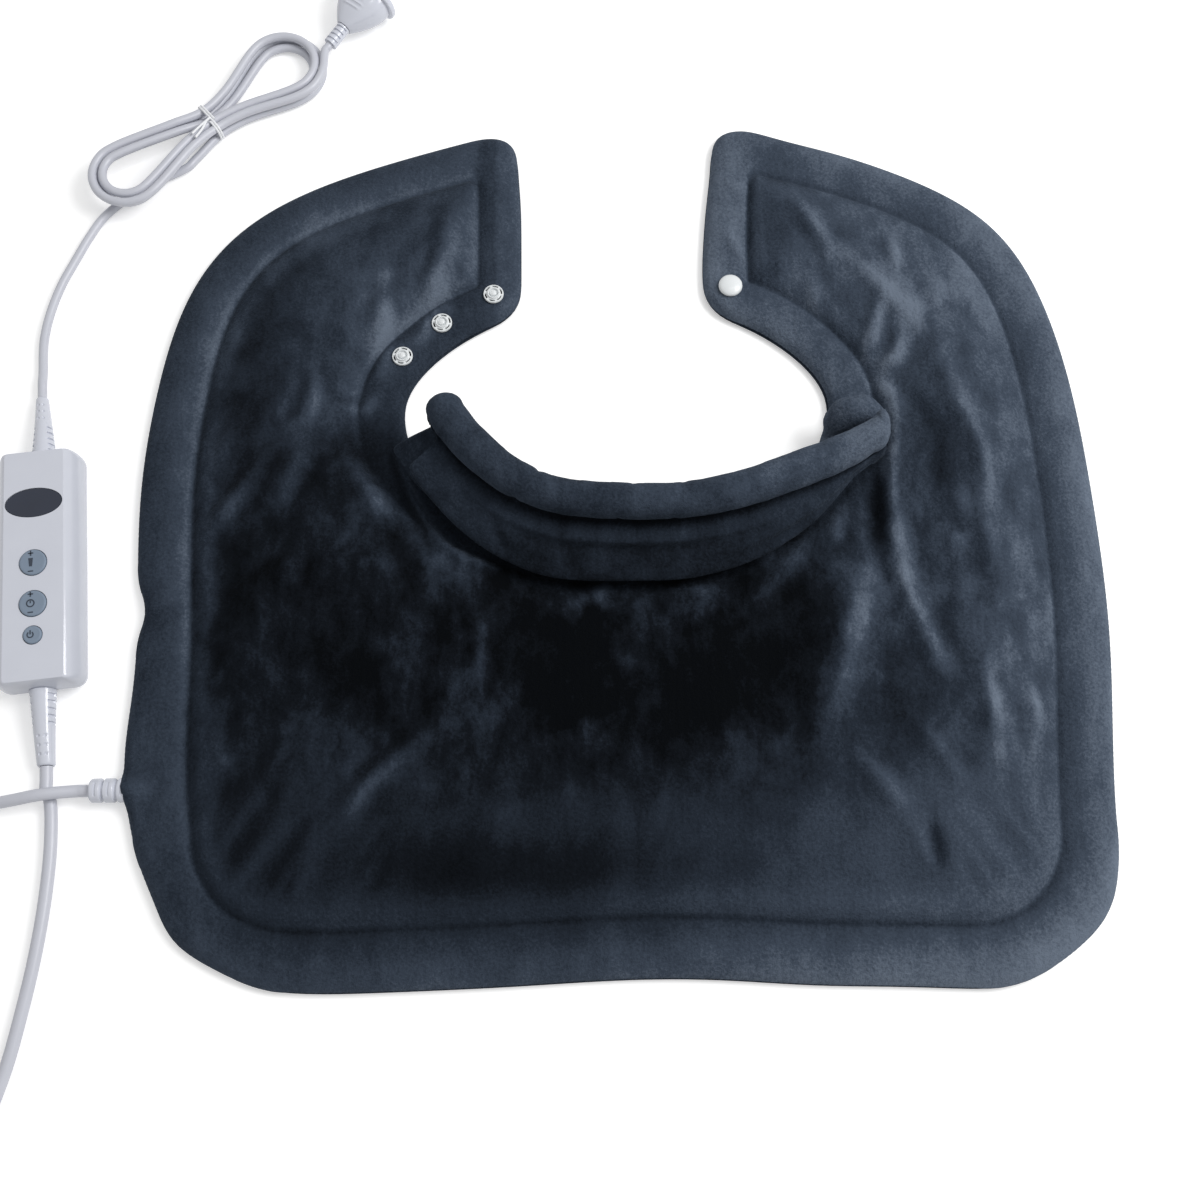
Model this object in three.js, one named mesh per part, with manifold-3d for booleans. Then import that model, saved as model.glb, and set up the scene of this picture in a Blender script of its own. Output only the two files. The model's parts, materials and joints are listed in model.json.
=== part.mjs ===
// Neck and shoulder heating pad with a wired hand controller, lying flat on a table.
// Millimetres, +Z up. +X is the wearer's right, +Y runs from the back panel to the arms.
// The origin is on the underside of the pad, in the middle of the back panel.

import * as THREE from "three";
import { mergeVertices } from "three/addons/utils/BufferGeometryUtils.js";
import Module from "manifold-3d";

// Fits
const CLEARANCE = 0.3;
const CUT_OVERRUN = 2;

// Pad outline
const PAD_WIDTH = 559;
const PANEL_LENGTH = 246;
const NECK_WIDTH = 255;
const NECK_DEPTH = 86;
const TIP_GAP = 114;
const ARM_RISE = 83;
const TIP_LENGTH = 109;
const TIP_ROUNDING = 20;
const CORNER_RADIUS = 84;
const BOTTOM_SAG = 5.5;
const BOTTOM_NARROWING = 10.5;
const WIDEST_LEVEL = 145;
const SHOULDER_RISE = 195;
const SHOULDER_PULL = 135;
const SHOULDER_SLOPE = 0.3;

// Pad layers
const BACK_THICKNESS = 4.2;
const EDGE_ROUNDING = 1.6;
const EDGE_LIP = 1.7;
const BORDER_COVER = 6.9;
const BORDER_WIDTH = 27;
const BORDER_SHOULDER = 9;
const SEAM_DEPTH = 2.5;
const SEAM_SLOPE = 6;
const POCKET_INSET = 42;
const COVER_SKIN = 2.6;
const CROWN_RISE = 2.6;
const EDGE_DROP = 1.4;
const SEAM_RISE = 0.8;
const CARRIER_THICKNESS = 2;
const BATTING_THICKNESS = 4;

// Cross lines on each half of the pad, and points read along each edge
const FAN_STEPS = 20;
const EDGE_SAMPLES = 400;

// Heating wire, laid as a pair of lines that turn back at the far end
const WIRE_DIAMETER = 2;
const RUN_MARGIN = 12;
const ARM_RUN_RISE = 16;
const LAST_RUN_END = 0;
const WIRE_RISE = 6;
const TURN_STEPS = 4;

// Thermal cut-off beside the wire
const CUTOFF_SIZE = [14, 6, 3.4];
const CUTOFF_GAP = 6;
const CUTOFF_DROP = 13;

// Inlet in the pad's left edge, and the plug-in connector on the heater lead
const INLET_Y = -18;
const SOCKET_DEPTH = 4;
const SOCKET_SIZE = [19, 20, 5.4];
const SOCKET_FLOOR = 2;
const TONGUE_SIZE = [11, 9, 3.6];
const CHANNEL_WIDTH = 22;
const CHANNEL_HEIGHT = 3;
const CONNECTOR_DIAMETER = 13.5;
const CONNECTOR_LENGTH = 23;
const CONNECTOR_GROOVE = 1.1;
const CONNECTOR_RIBS = 3;

// Turned-down collar round the neck
const COLLAR_FOOT = 8;
const COLLAR_FOOT_INSET = 3;
const COLLAR_ROLL_RADIUS = 11;
const COLLAR_ROLL_HEIGHT = 36;
const COLLAR_FLAP_THICKNESS = 8;
const COLLAR_FLAP_LIFT = 2.4;
const COLLAR_LEAN = { left: -13, middle: -9, right: 16 };
const COLLAR_REACH = { left: 17, middle: 28, right: 38 };
const COLLAR_STEPS = 34;

// Press studs on the arm tips, placed by their distance along the neck edge from the tip
const STUD_INSET = 14.5;
const SOCKET_STUD_AT = [18, 58.5, 87];
const CAP_STUD_AT = 8;
const SOCKET_STUD_DIAMETER = 12.4;
const CAP_STUD_DIAMETER = 14.6;
const STUD_HEIGHT = 2.8;
const STUD_RIM = 0.8;
const STUD_DOME = 0.4;
const STUD_STEM = 4;
const STUD_BACK_DIAMETER = 11;
const STUD_BACK_HEIGHT = 1.4;

// Controller housing
const CONTROLLER_BESIDE = 52.5;
const CONTROLLER_LEVEL = 109.2;
const CONTROLLER_YAW = 5.8;
const CONTROLLER_LENGTH = 142;
const CONTROLLER_WIDTH = 49;
const CONTROLLER_HEIGHT = 26;
const PARTING_HEIGHT = 10;
const SIDE_DRAW = 7.3;
const END_DRAW = 2;
const BASE_DRAW = 6;
const SHOULDER_ANGLE = 60;
const HOUSING_CORNER = 7;
const SHELL_WALL = 2.4;

// Controller front: window, two rocker keys and the power key, placed along the housing
const WINDOW_AT = 36.8;
const WINDOW_SIZE = [32.4, 17.6];
const WINDOW_RECESS = 1.4;
const WINDOW_LEDGE = 1.8;
const ROCKER_AT = { temperature_rocker: 0, timer_rocker: -24.5 };
const ROCKER_DIAMETER = 16;
const POWER_AT = -43;
const POWER_DIAMETER = 11.3;
const KEY_GAP = 0.4;
const KEY_PROUD = 1;
const KEY_FLANGE = 1.2;
const KEY_FLANGE_HEIGHT = 1.3;
const ROCKER_SWING = 0.5;
const TRUNNION_DIAMETER = 2.2;
const SADDLE_THICKNESS = 2.6;
const SADDLE_WALL = 1.4;

// Circuit board and what it carries
const BOARD_SIZE = [38, 122];
const BOARD_THICKNESS = 1.6;
const BOARD_HEIGHT = 14;
const SWITCH_SIZE = 6;
const SWITCH_BODY = 3;
const SWITCH_PLUNGER = 3.4;
const SWITCH_OFFSET = 5.2;
const SWITCH_TOP = 4.9;
const DISPLAY_SIZE = [28, 13];
const MICROCONTROLLER = { size: [8, 8, 1.4], at: [6, -10] };
const TRIAC = { size: [10, 15, 4.5], at: [-8, 28] };
const FILM_CAPACITOR = { size: [9, 18, 9.5], at: [8, 26] };
const FUSE = { diameter: 5.2, length: 20, at: [-9, -30] };
const BULK_CAPACITOR = { diameter: 8, length: 12, at: [8, -34] };
const INNER_WIRE_DIAMETER = 1.8;
const INNER_WIRE_SPREAD = 2.4;
const INNER_WIRE_REACH = 7.8;
const INNER_WIRE_STUB = 4;
const INNER_WIRE_TAIL = 1;

// Housing screws
const SCREW_SPREAD = [28, 108];
const SCREW_DIAMETER = 2.6;
const SCREW_HEAD = 5;
const SCREW_HEAD_HEIGHT = 2;
const SCREW_RECESS = 2.4;
const BOSS_WALL = 1.7;
const SCREW_WEB = 2;

// Strain reliefs on the controller
const BOOT_LENGTH = 42;
const BOOT_BASE = 13;
const BOOT_NECK = 9;
const BOOT_FLANGE = 11.4;
const BOOT_FLANGE_THICKNESS = 2;
const BOOT_TIP = 8.6;
const BOOT_DROP = 5;
const BOOT_GROOVES = 4;
const BOOT_GROOVE = 1;

// Cords
const LEAD_DIAMETER = 7;
const MAINS_DIAMETER = 5.4;
const CORD_SIDES = 8;
const CORD_STEP = 2.5;

// Hank of mains cord: two round lobes joined by runs that a tie draws in at the waist
const HANK_AT = [-258, 416.5];
const HANK_ANGLE = 42.5;
const HANK_PITCH = 6.4;
const HANK_WAIST_PITCH = 6.8;
const HANK_WAIST = 11.6;
const HANK_FLARE = 3;
const HANK_RUN = 20;
const RIGHT_LOBE = { centre: 61, radius: 27 };
const LEFT_LOBE = { centre: 64, radius: 24 };
const LOBE_ARC = 105;
const LOOP_STEPS = 24;
const RUN_STEPS = 3;
const HANK_SIDES = 6;
const TIE_THICKNESS = 0.7;
const TIE_WIDTH = 3;
const TIE_TAIL = 22;
const TIE_TAIL_TURNS = [7, 17];
const TIE_TAIL_RISE = 14;

// Mains plug with two flat blades
const PLUG_AT = [-182.5, 473, 10.4];
const PLUG_YAW = 53;
const PLUG_PITCH = 7;
const PLUG_BOOT_LENGTH = 15;
const PLUG_BOOT_DIAMETER = 9;
const PLUG_BOOT_RIBS = 4;
const PLUG_LENGTH = 26;
const PLUG_WIDTH = 35;
const PLUG_HEIGHT = 24;
const PLUG_LIP = 2.5;
const PLUG_LIP_LENGTH = 4;
const BLADE_SIZE = [17, 1.6, 6.3];
const BLADE_SPACING = 13.7;
const BLADE_TURN = 30;

// Routes chosen by hand, at the height of a cord lying on the table
const LEAD_ROUTE = [
  [-317.2, -22, 3.8], [-314.4, -44, 3.7], [-314.1, -71, 3.7], [-316.1, -102, 3.7],
  [-320.2, -133, 3.7], [-327.5, -170, 3.7], [-342, -207, 3.7], [-370, -231, 3.7],
  [-403, -231, 3.7], [-430, -210, 3.7], [-444, -175, 3.7], [-447, -135, 3.7],
  [-441, -95, 3.7], [-422, -58, 3.7], [-390, -34, 3.7], [-357, -26, 5.6],
  [-333, -22.6, 10.4], [-318, -20.2, 11.6],
];
const MAINS_ROUTE = [
  [-348.6, 240, 3.2], [-350.4, 262, 3], [-348.5, 281, 3], [-343.5, 301, 3],
  [-336.7, 318, 3], [-329, 336, 3], [-320.5, 350.5, 3.2], [-299.4, 369, 3.6],
];

// Helpers
const wasm = await Module();
wasm.setup();
const heatingPad = new THREE.Group();

function finish(color, roughness, metalness = 0) {
  return new THREE.MeshStandardMaterial({ color, roughness, metalness });
}

const plush = () => finish(0x39434f, 0.95);
const felt = () => finish(0xd8d5cc, 0.95);
const whitePlastic = () => finish(0xd6d8e2, 0.35);
const keyPlastic = () => finish(0x7f8ca6, 0.45);
const cordPlastic = () => finish(0xcfd1dc, 0.5);
const steel = () => finish(0xb9bcc2, 0.3, 1);
const darkPlastic = () => finish(0x24262b, 0.5);

function add(group, name, geometry, material) {
  const mesh = new THREE.Mesh(geometry, material);
  mesh.name = name;
  group.add(mesh);
  return mesh;
}

function toSolid(geometry) {
  const bare = new THREE.BufferGeometry();
  bare.setAttribute("position", geometry.attributes.position);
  bare.setIndex(geometry.index);
  const merged = mergeVertices(bare);
  return new wasm.Manifold(new wasm.Mesh({
    numProp: 3,
    vertProperties: new Float32Array(merged.attributes.position.array),
    triVerts: new Uint32Array(merged.index.array),
  }));
}

function toGeometry(solid) {
  const mesh = solid.getMesh();
  const geometry = new THREE.BufferGeometry();
  geometry.setAttribute("position", new THREE.BufferAttribute(mesh.vertProperties, 3));
  geometry.setIndex(new THREE.BufferAttribute(mesh.triVerts, 1));
  return geometry;
}

function cut(body, tools) {
  return toGeometry(tools.reduce((solid, tool) => solid.subtract(toSolid(tool)), toSolid(body)));
}

function join(pieces) {
  return toGeometry(pieces.map(toSolid).reduce((solid, piece) => solid.add(piece)));
}

// A box given by its low and high corners
function block(low, high) {
  const size = high.map((value, axis) => value - low[axis]);
  const centre = high.map((value, axis) => (value + low[axis]) / 2);
  return new THREE.BoxGeometry(...size).translate(...centre);
}

// A round bar along +Z from one height to another
function bar(x, y, low, high, diameter, sides = 16) {
  const geometry = new THREE.CylinderGeometry(diameter / 2, diameter / 2, high - low, sides);
  return geometry.rotateX(Math.PI / 2).translate(x, y, (low + high) / 2);
}

// A closed solid through rings of equal count, with flat ends
function loft(rings) {
  const count = rings[0].length;
  const positions = rings.flat().flatMap((point) => point.toArray());
  const index = [];
  for (let ring = 0; ring + 1 < rings.length; ring += 1) {
    for (let i = 0; i < count; i += 1) {
      const a = ring * count + i;
      const b = ring * count + ((i + 1) % count);
      index.push(a, b, b + count, a, b + count, a + count);
    }
  }
  capTriangles(rings[0]).forEach(([a, b, c]) => index.push(a, c, b));
  const last = (rings.length - 1) * count;
  capTriangles(rings.at(-1)).forEach(([a, b, c]) => index.push(last + a, last + b, last + c));
  const geometry = new THREE.BufferGeometry();
  geometry.setAttribute("position", new THREE.Float32BufferAttribute(positions, 3));
  geometry.setIndex(index);
  return facingOut(geometry);
}

// Triangles of a flat ring, turning the same way as the ring
function capTriangles(ring) {
  const normal = new THREE.Vector3();
  ring.forEach((point, i) => normal.add(point.clone().cross(ring[(i + 1) % ring.length])));
  const turn = new THREE.Quaternion().setFromUnitVectors(normal.normalize(), new THREE.Vector3(0, 0, 1));
  const flat = ring.map((point) => point.clone().applyQuaternion(turn));
  return THREE.ShapeUtils.triangulateShape(flat.map((point) => new THREE.Vector2(point.x, point.y)), []);
}

function facingOut(geometry) {
  const position = geometry.attributes.position;
  const index = geometry.index.array;
  const [a, b, c] = [new THREE.Vector3(), new THREE.Vector3(), new THREE.Vector3()];
  let volume = 0;
  for (let i = 0; i < index.length; i += 3) {
    a.fromBufferAttribute(position, index[i]);
    b.fromBufferAttribute(position, index[i + 1]);
    c.fromBufferAttribute(position, index[i + 2]);
    volume += a.dot(b.cross(c));
  }
  if (volume < 0) geometry.setIndex(Array.from(index).reverse());
  return geometry;
}

// A round ring of points about a centre, square to a direction
function roundRing(centre, direction, radius, sides) {
  const turn = new THREE.Quaternion().setFromUnitVectors(new THREE.Vector3(0, 0, 1), direction);
  return Array.from({ length: sides }, (_, i) => {
    const angle = (i / sides) * 2 * Math.PI;
    const point = new THREE.Vector3(Math.cos(angle) * radius, Math.sin(angle) * radius, 0);
    return point.applyQuaternion(turn).add(centre);
  });
}

// A tube through points, with each ring carried on from the last so that it doesn't twist
function tube(points, diameter, sides) {
  const heading = (i) => points[Math.min(i + 1, points.length - 1)].clone()
    .sub(points[Math.max(i - 1, 0)]).normalize();
  let direction = heading(0);
  let ring = roundRing(new THREE.Vector3(), direction, diameter / 2, sides);
  return loft(points.map((point, i) => {
    const next = heading(i);
    const turn = new THREE.Quaternion().setFromUnitVectors(direction, next);
    ring = ring.map((spoke) => spoke.clone().applyQuaternion(turn));
    direction = next;
    return ring.map((spoke) => spoke.clone().add(point));
  }));
}

// A cord through hand-chosen points, swept along one smooth curve
function cord(points, diameter) {
  const curve = new THREE.CatmullRomCurve3(points, false, "centripetal");
  const section = new THREE.Shape();
  section.absarc(0, 0, diameter / 2, 0, 2 * Math.PI);
  const steps = Math.ceil(curve.getLength() / (CORD_STEP * diameter));
  console.log(`cord of ${curve.getLength().toFixed(0)} mm in ${steps} steps`);
  return new THREE.ExtrudeGeometry(section, { steps, extrudePath: curve, curveSegments: CORD_SIDES / 2 });
}

function lathe(profile, sides) {
  const points = profile.map(([radius, height]) => new THREE.Vector2(radius, height));
  return new THREE.LatheGeometry(points, sides).rotateX(Math.PI / 2);
}

const radians = THREE.MathUtils.degToRad;
const vector = (point) => new THREE.Vector3(...point);

// Heights of the pad's layers
const panelHalf = PANEL_LENGTH / 2;
const tipX = TIP_GAP / 2;
const neckHalf = NECK_WIDTH / 2;
const neckLevel = panelHalf + NECK_DEPTH;
const coverFloor = BACK_THICKNESS + CLEARANCE;
const carrierTop = coverFloor + CARRIER_THICKNESS;
const wireCentre = carrierTop + CLEARANCE + WIRE_DIAMETER / 2;
const battingFloor = wireCentre + WIRE_DIAMETER / 2 + CLEARANCE;
const pocketRoof = battingFloor + BATTING_THICKNESS + CLEARANCE;
const borderTop = coverFloor + BORDER_COVER;

// Runs of the wire pair: two fill each arm between its margins, and the rest keep about that spacing
const runRoom = RUN_MARGIN + WIRE_DIAMETER / 2;
const armSpacing = (PAD_WIDTH / 2 - neckHalf - 2 * POCKET_INSET - 2 * runRoom) / 1.5;
const lastRunX = PAD_WIDTH / 2 - POCKET_INSET - runRoom - armSpacing / 4;
const runCount = 2 * Math.round(lastRunX / armSpacing + 0.5);
const runSpacing = (2 * lastRunX) / (runCount - 1);

// Right half of the outline: outer edge from the bottom middle to the arm tip
function outerEdge() {
  const cornerX = PAD_WIDTH / 2 - BOTTOM_NARROWING - CORNER_RADIUS;
  const bottom = -panelHalf - BOTTOM_SAG;
  const tipTop = neckLevel + ARM_RISE + TIP_LENGTH;
  const armStart = tipX + 1.6 * TIP_ROUNDING;
  const path = new THREE.Path();
  path.moveTo(0, -panelHalf);
  path.bezierCurveTo(cornerX * 0.4, -panelHalf, cornerX * 0.6, bottom, cornerX, bottom);
  path.absarc(cornerX, bottom + CORNER_RADIUS, CORNER_RADIUS, -Math.PI / 2, 0, false);
  const side = cornerX + CORNER_RADIUS;
  const sideStart = bottom + CORNER_RADIUS;
  const sideRise = (WIDEST_LEVEL - sideStart) / 3;
  path.bezierCurveTo(
    side + BOTTOM_NARROWING * 0.3, sideStart + sideRise,
    PAD_WIDTH / 2, WIDEST_LEVEL - sideRise, PAD_WIDTH / 2, WIDEST_LEVEL,
  );
  path.bezierCurveTo(
    PAD_WIDTH / 2, WIDEST_LEVEL + SHOULDER_RISE,
    armStart + SHOULDER_PULL, tipTop - SHOULDER_SLOPE * SHOULDER_PULL, armStart, tipTop,
  );
  path.quadraticCurveTo(tipX, tipTop + SHOULDER_SLOPE * 1.6 * TIP_ROUNDING, tipX, tipTop - TIP_ROUNDING);
  return path;
}

// Right half of the outline: neck edge from the bottom of the neck to the arm tip
function neckEdge() {
  const tipLow = neckLevel + ARM_RISE;
  const path = new THREE.Path();
  path.absellipse(0, neckLevel, neckHalf, NECK_DEPTH, -Math.PI / 2, 0, false);
  path.bezierCurveTo(
    neckHalf, neckLevel + 0.28 * ARM_RISE, tipX + 2 * TIP_ROUNDING, tipLow - 1.8 * TIP_ROUNDING,
    tipX + 0.95 * TIP_ROUNDING, tipLow - 1.3 * TIP_ROUNDING,
  );
  path.quadraticCurveTo(tipX, tipLow - 0.9 * TIP_ROUNDING, tipX, tipLow);
  return path;
}

const outerPath = outerEdge();
const neckPath = neckEdge();
const outerPoints = outerPath.getSpacedPoints(EDGE_SAMPLES);
const neckPoints = neckPath.getSpacedPoints(EDGE_SAMPLES);

// The edge's crossing of a line x = const that is nearest to the arm tip
function crossing(points, x) {
  for (let i = points.length - 1; i > 0; i -= 1) {
    const [near, far] = [points[i], points[i - 1]];
    if ((near.x - x) * (far.x - x) <= 0 && near.x !== far.x) {
      const share = (x - near.x) / (far.x - near.x);
      return { point: near.clone().lerp(far, share), place: (i - share) / EDGE_SAMPLES };
    }
  }
  throw new Error(`no edge at x = ${x}`);
}

// A line across the pad from the neck edge to the outer edge, near the tip
function tipLine(depth) {
  const inner = depth === 0 ? neckPoints.at(-1) : crossing(neckPoints, tipX + depth).point;
  const outer = depth === 0 ? outerPoints.at(-1) : crossing(outerPoints, tipX + depth).point;
  return { inner, outer, innerStretch: 1, outerStretch: 1 };
}

// A line across the pad that fans round with the neck; share 0 is the middle of the back
const fanEnd = [neckPoints, outerPoints].map((points) => crossing(points, tipX + POCKET_INSET).place);

function fanLine(share) {
  const [innerPlace, outerPlace] = fanEnd.map((end) => end * share);
  const inner = neckPath.getPointAt(innerPlace);
  const outer = outerPath.getPointAt(outerPlace);
  const across = outer.clone().sub(inner).normalize();
  const stretch = (path, place) => 1 / Math.max(0.5, Math.abs(across.cross(path.getTangentAt(place))));
  return {
    inner,
    outer,
    innerStretch: stretch(neckPath, innerPlace),
    outerStretch: stretch(outerPath, outerPlace),
  };
}

// Points on a cross line at a depth from its neck edge or from its outer edge
const fromNeck = ({ inner, outer, innerStretch }, depth) => inner.clone()
  .add(outer.clone().sub(inner).setLength(depth * innerStretch));
const fromOuter = ({ inner, outer, outerStretch }, depth) => outer.clone()
  .add(inner.clone().sub(outer).setLength(depth * outerStretch));

const fanLines = Array.from({ length: FAN_STEPS }, (_, step) => fanLine(1 - (step + 1) / FAN_STEPS));
const depths = [
  0, BORDER_SHOULDER / 3, BORDER_SHOULDER, BORDER_WIDTH - BORDER_SHOULDER,
  BORDER_WIDTH, BORDER_WIDTH + SEAM_SLOPE, POCKET_INSET,
];
const depthHeights = [
  coverFloor + EDGE_LIP, borderTop - EDGE_DROP, borderTop, borderTop,
  borderTop - SEAM_DEPTH, borderTop + SEAM_RISE, pocketRoof + COVER_SKIN,
];
const crownTop = pocketRoof + COVER_SKIN + CROWN_RISE;

const mirrored = (point) => new THREE.Vector2(-point.x, point.y);

// The pad's outline, drawn in by a depth all round
function padOutline(depth) {
  const lines = [tipLine(depth), ...depths.filter((value) => value > depth).map(tipLine), ...fanLines];
  const outerSide = lines.map((line) => fromOuter(line, depth));
  const neckSide = lines.map((line) => fromNeck(line, depth));
  const left = (side) => side.slice(0, -1).map(mirrored);
  return [
    ...outerSide, ...left(outerSide).reverse(), ...left(neckSide), ...neckSide.slice().reverse(),
  ];
}

const level = (outline, z) => outline.map((point) => new THREE.Vector3(point.x, point.y, z));

function slab(depth, low, high) {
  return loft([level(padOutline(depth), low), level(padOutline(depth), high)]);
}

// Sheet of points over the right half, from the tip to the middle; rows run from neck to outer edge
function coverRow(line, tipDepth) {
  const neckSide = depths.map((depth) => fromNeck(line, depth));
  const outerSide = depths.map((depth) => fromOuter(line, depth)).reverse();
  const middle = neckSide.at(-1).clone().lerp(outerSide[0], 0.5);
  const rowDepths = [...depths, Infinity, ...depths.slice().reverse()];
  return [...neckSide, middle, ...outerSide].map((point, i) => {
    const place = depths.indexOf(Math.min(rowDepths[i], tipDepth));
    return new THREE.Vector3(point.x, point.y, place < 0 ? crownTop : depthHeights[place]);
  });
}

// The quilted top: a crowned sheet with a sewn channel inside its border, closed by a flat underside
function crownedCover() {
  const half = [
    ...depths.map((depth) => coverRow(tipLine(depth), depth)),
    ...fanLines.map((line) => coverRow(line, Infinity)),
  ];
  const flip = (row) => row.map((point) => new THREE.Vector3(-point.x, point.y, point.z));
  const rows = [...half, ...half.slice(0, -1).map(flip).reverse()];
  const width = rows[0].length;
  const positions = rows.flat().flatMap((point) => point.toArray());
  const index = [];
  for (let row = 0; row + 1 < rows.length; row += 1) {
    for (let i = 0; i + 1 < width; i += 1) {
      const a = row * width + i;
      index.push(a, a + 1, a + width + 1, a, a + width + 1, a + width);
    }
  }
  const last = (rows.length - 1) * width;
  const rim = [
    ...rows.map((_, row) => row * width),
    ...Array.from({ length: width - 2 }, (_, i) => last + i + 1),
    ...rows.map((_, row) => row * width + width - 1).reverse(),
    ...Array.from({ length: width - 2 }, (_, i) => width - 2 - i),
  ];
  const floorStart = positions.length / 3;
  const sheet = rows.flat();
  rim.forEach((at) => positions.push(sheet[at].x, sheet[at].y, coverFloor));
  rim.forEach((at, i) => {
    const next = (i + 1) % rim.length;
    index.push(at, rim[next], floorStart + next, at, floorStart + next, floorStart + i);
  });
  const floorRing = rim.map((at) => new THREE.Vector3(sheet[at].x, sheet[at].y, coverFloor));
  const floorCap = capTriangles(floorRing);
  floorCap.forEach(([a, b, c]) => index.push(floorStart + a, floorStart + b, floorStart + c));
  const geometry = new THREE.BufferGeometry();
  geometry.setAttribute("position", new THREE.Float32BufferAttribute(positions, 3));
  geometry.setIndex(index);
  return facingOut(geometry);
}

// Press stud places: a distance along the neck edge from the tip, then in from that edge
const neckLength = neckPath.getLength();

function studPlace(along, side) {
  const place = 1 - along / neckLength;
  const point = neckPath.getPointAt(place);
  const tangent = neckPath.getTangentAt(place);
  return [side * (point.x + tangent.y * STUD_INSET), point.y - tangent.x * STUD_INSET];
}

const studs = [
  ...SOCKET_STUD_AT.map(
    (along, i) => ({ name: `snap_socket_${i + 1}`, at: studPlace(along, -1), cap: false }),
  ),
  { name: "snap_cap", at: studPlace(CAP_STUD_AT, 1), cap: true },
];

// Inlet places on the left edge, at its outermost point across the connector
const inletEdge = outerPoints.filter(
  (point) => point.x > neckHalf && Math.abs(point.y - INLET_Y) <= CONNECTOR_DIAMETER / 2,
);
const edgeX = -Math.max(...inletEdge.map((point) => point.x));
const socketX = edgeX + SOCKET_DEPTH;
const socketMiddle = SOCKET_FLOOR + SOCKET_SIZE[2] / 2;
const channelWire = coverFloor + CLEARANCE + WIRE_DIAMETER / 2;

// A box across the inlet's middle line, from one x to another
function inletBlock(startX, endX, width, low, high) {
  return block([startX, INLET_Y - width / 2, low], [endX, INLET_Y + width / 2, high]);
}

// Room for the connector's tongue, from outside the edge to an x
function tongueRoom(endX) {
  const half = TONGUE_SIZE[2] / 2 + CLEARANCE;
  const width = TONGUE_SIZE[1] + 2 * CLEARANCE;
  return inletBlock(edgeX - CUT_OVERRUN, endX, width, socketMiddle - half, socketMiddle + half);
}

function inletPockets() {
  const [length, width, height] = SOCKET_SIZE;
  const socketRoom = inletBlock(
    socketX - CLEARANCE, socketX + length + CLEARANCE, width + 2 * CLEARANCE,
    SOCKET_FLOOR - CLEARANCE, SOCKET_FLOOR + height + CLEARANCE,
  );
  return [socketRoom, tongueRoom(socketX + CLEARANCE)];
}

function wireChannel() {
  return inletBlock(
    socketX + SOCKET_SIZE[0], edgeX + POCKET_INSET + CUT_OVERRUN, CHANNEL_WIDTH,
    coverFloor - CUT_OVERRUN, coverFloor + CHANNEL_HEIGHT,
  );
}

// Notch in the felt where the wire rises onto it
const wireRiseEnd = edgeX + POCKET_INSET + WIRE_RISE;

function feltNotch() {
  return inletBlock(
    edgeX, wireRiseEnd + WIRE_DIAMETER, CHANNEL_WIDTH, coverFloor - CUT_OVERRUN, carrierTop + CUT_OVERRUN,
  );
}

// Covers, felt and filling
function buildPad() {
  const stemHoles = studs.map(({ at }) => bar(
    ...at, -CUT_OVERRUN, borderTop + CUT_OVERRUN, STUD_STEM + 2 * CLEARANCE, 12,
  ));
  const backRecesses = studs.map(({ at }) => bar(
    ...at, -CUT_OVERRUN, STUD_BACK_HEIGHT + 2 * CLEARANCE, STUD_BACK_DIAMETER + 2 * CLEARANCE, 12,
  ));
  const back = loft([
    level(padOutline(EDGE_ROUNDING), 0),
    level(padOutline(0), EDGE_ROUNDING),
    level(padOutline(0), BACK_THICKNESS),
  ]);
  add(heatingPad, "back_cover", cut(back, [...inletPockets(), ...stemHoles, ...backRecesses]), plush());
  const pocket = slab(POCKET_INSET, coverFloor - CUT_OVERRUN, pocketRoof);
  const top = cut(crownedCover(), [pocket, wireChannel(), ...inletPockets(), ...stemHoles]);
  add(heatingPad, "top_cover", top, plush());
  const felting = slab(POCKET_INSET + CLEARANCE, coverFloor, carrierTop);
  add(heatingPad, "heater_carrier", cut(felting, [feltNotch()]), felt());
  const [length, width, height] = CUTOFF_SIZE;
  const x = -(lastRunX - 1.25 * runSpacing - WIRE_DIAMETER / 2 - CUTOFF_GAP - width / 2);
  const y = panelHalf - CUTOFF_DROP;
  const seat = carrierTop + CLEARANCE;
  const cutoff = block([x - width / 2, y - length / 2, seat], [x + width / 2, y + length / 2, seat + height]);
  const room = block(
    [x - width / 2 - CLEARANCE, y - length / 2 - CLEARANCE, seat - CUT_OVERRUN],
    [x + width / 2 + CLEARANCE, y + length / 2 + CLEARANCE, seat + height + CLEARANCE],
  );
  const filling = slab(POCKET_INSET + CLEARANCE, battingFloor, battingFloor + BATTING_THICKNESS);
  add(heatingPad, "batting", cut(filling, [room]), felt());
  add(heatingPad, "thermal_cutoff", cutoff, darkPlastic());
}

// Middle line of the wire pair: up and down across the panel, with the outer runs reaching into the arms
function wireMiddleLine() {
  const turn = runSpacing / 2;
  const reach = panelHalf - POCKET_INSET - runRoom - 1.5 * turn;
  const points = [new THREE.Vector2(-lastRunX, INLET_Y + runSpacing)];
  for (let run = 0; run + 1 < runCount; run += 1) {
    const up = run % 2 === 0;
    const inArm = run === 0 || run === runCount - 2;
    const y = up ? (inArm ? neckLevel + ARM_RUN_RISE : reach) : -reach;
    const centre = new THREE.Vector2(run * runSpacing + turn - lastRunX, y);
    for (let step = 0; step <= TURN_STEPS; step += 1) {
      const angle = Math.PI * (1 - step / TURN_STEPS) * (up ? 1 : -1);
      points.push(new THREE.Vector2(turn * Math.cos(angle), turn * Math.sin(angle)).add(centre));
    }
  }
  points.push(new THREE.Vector2(lastRunX, LAST_RUN_END));
  return points;
}

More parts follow.
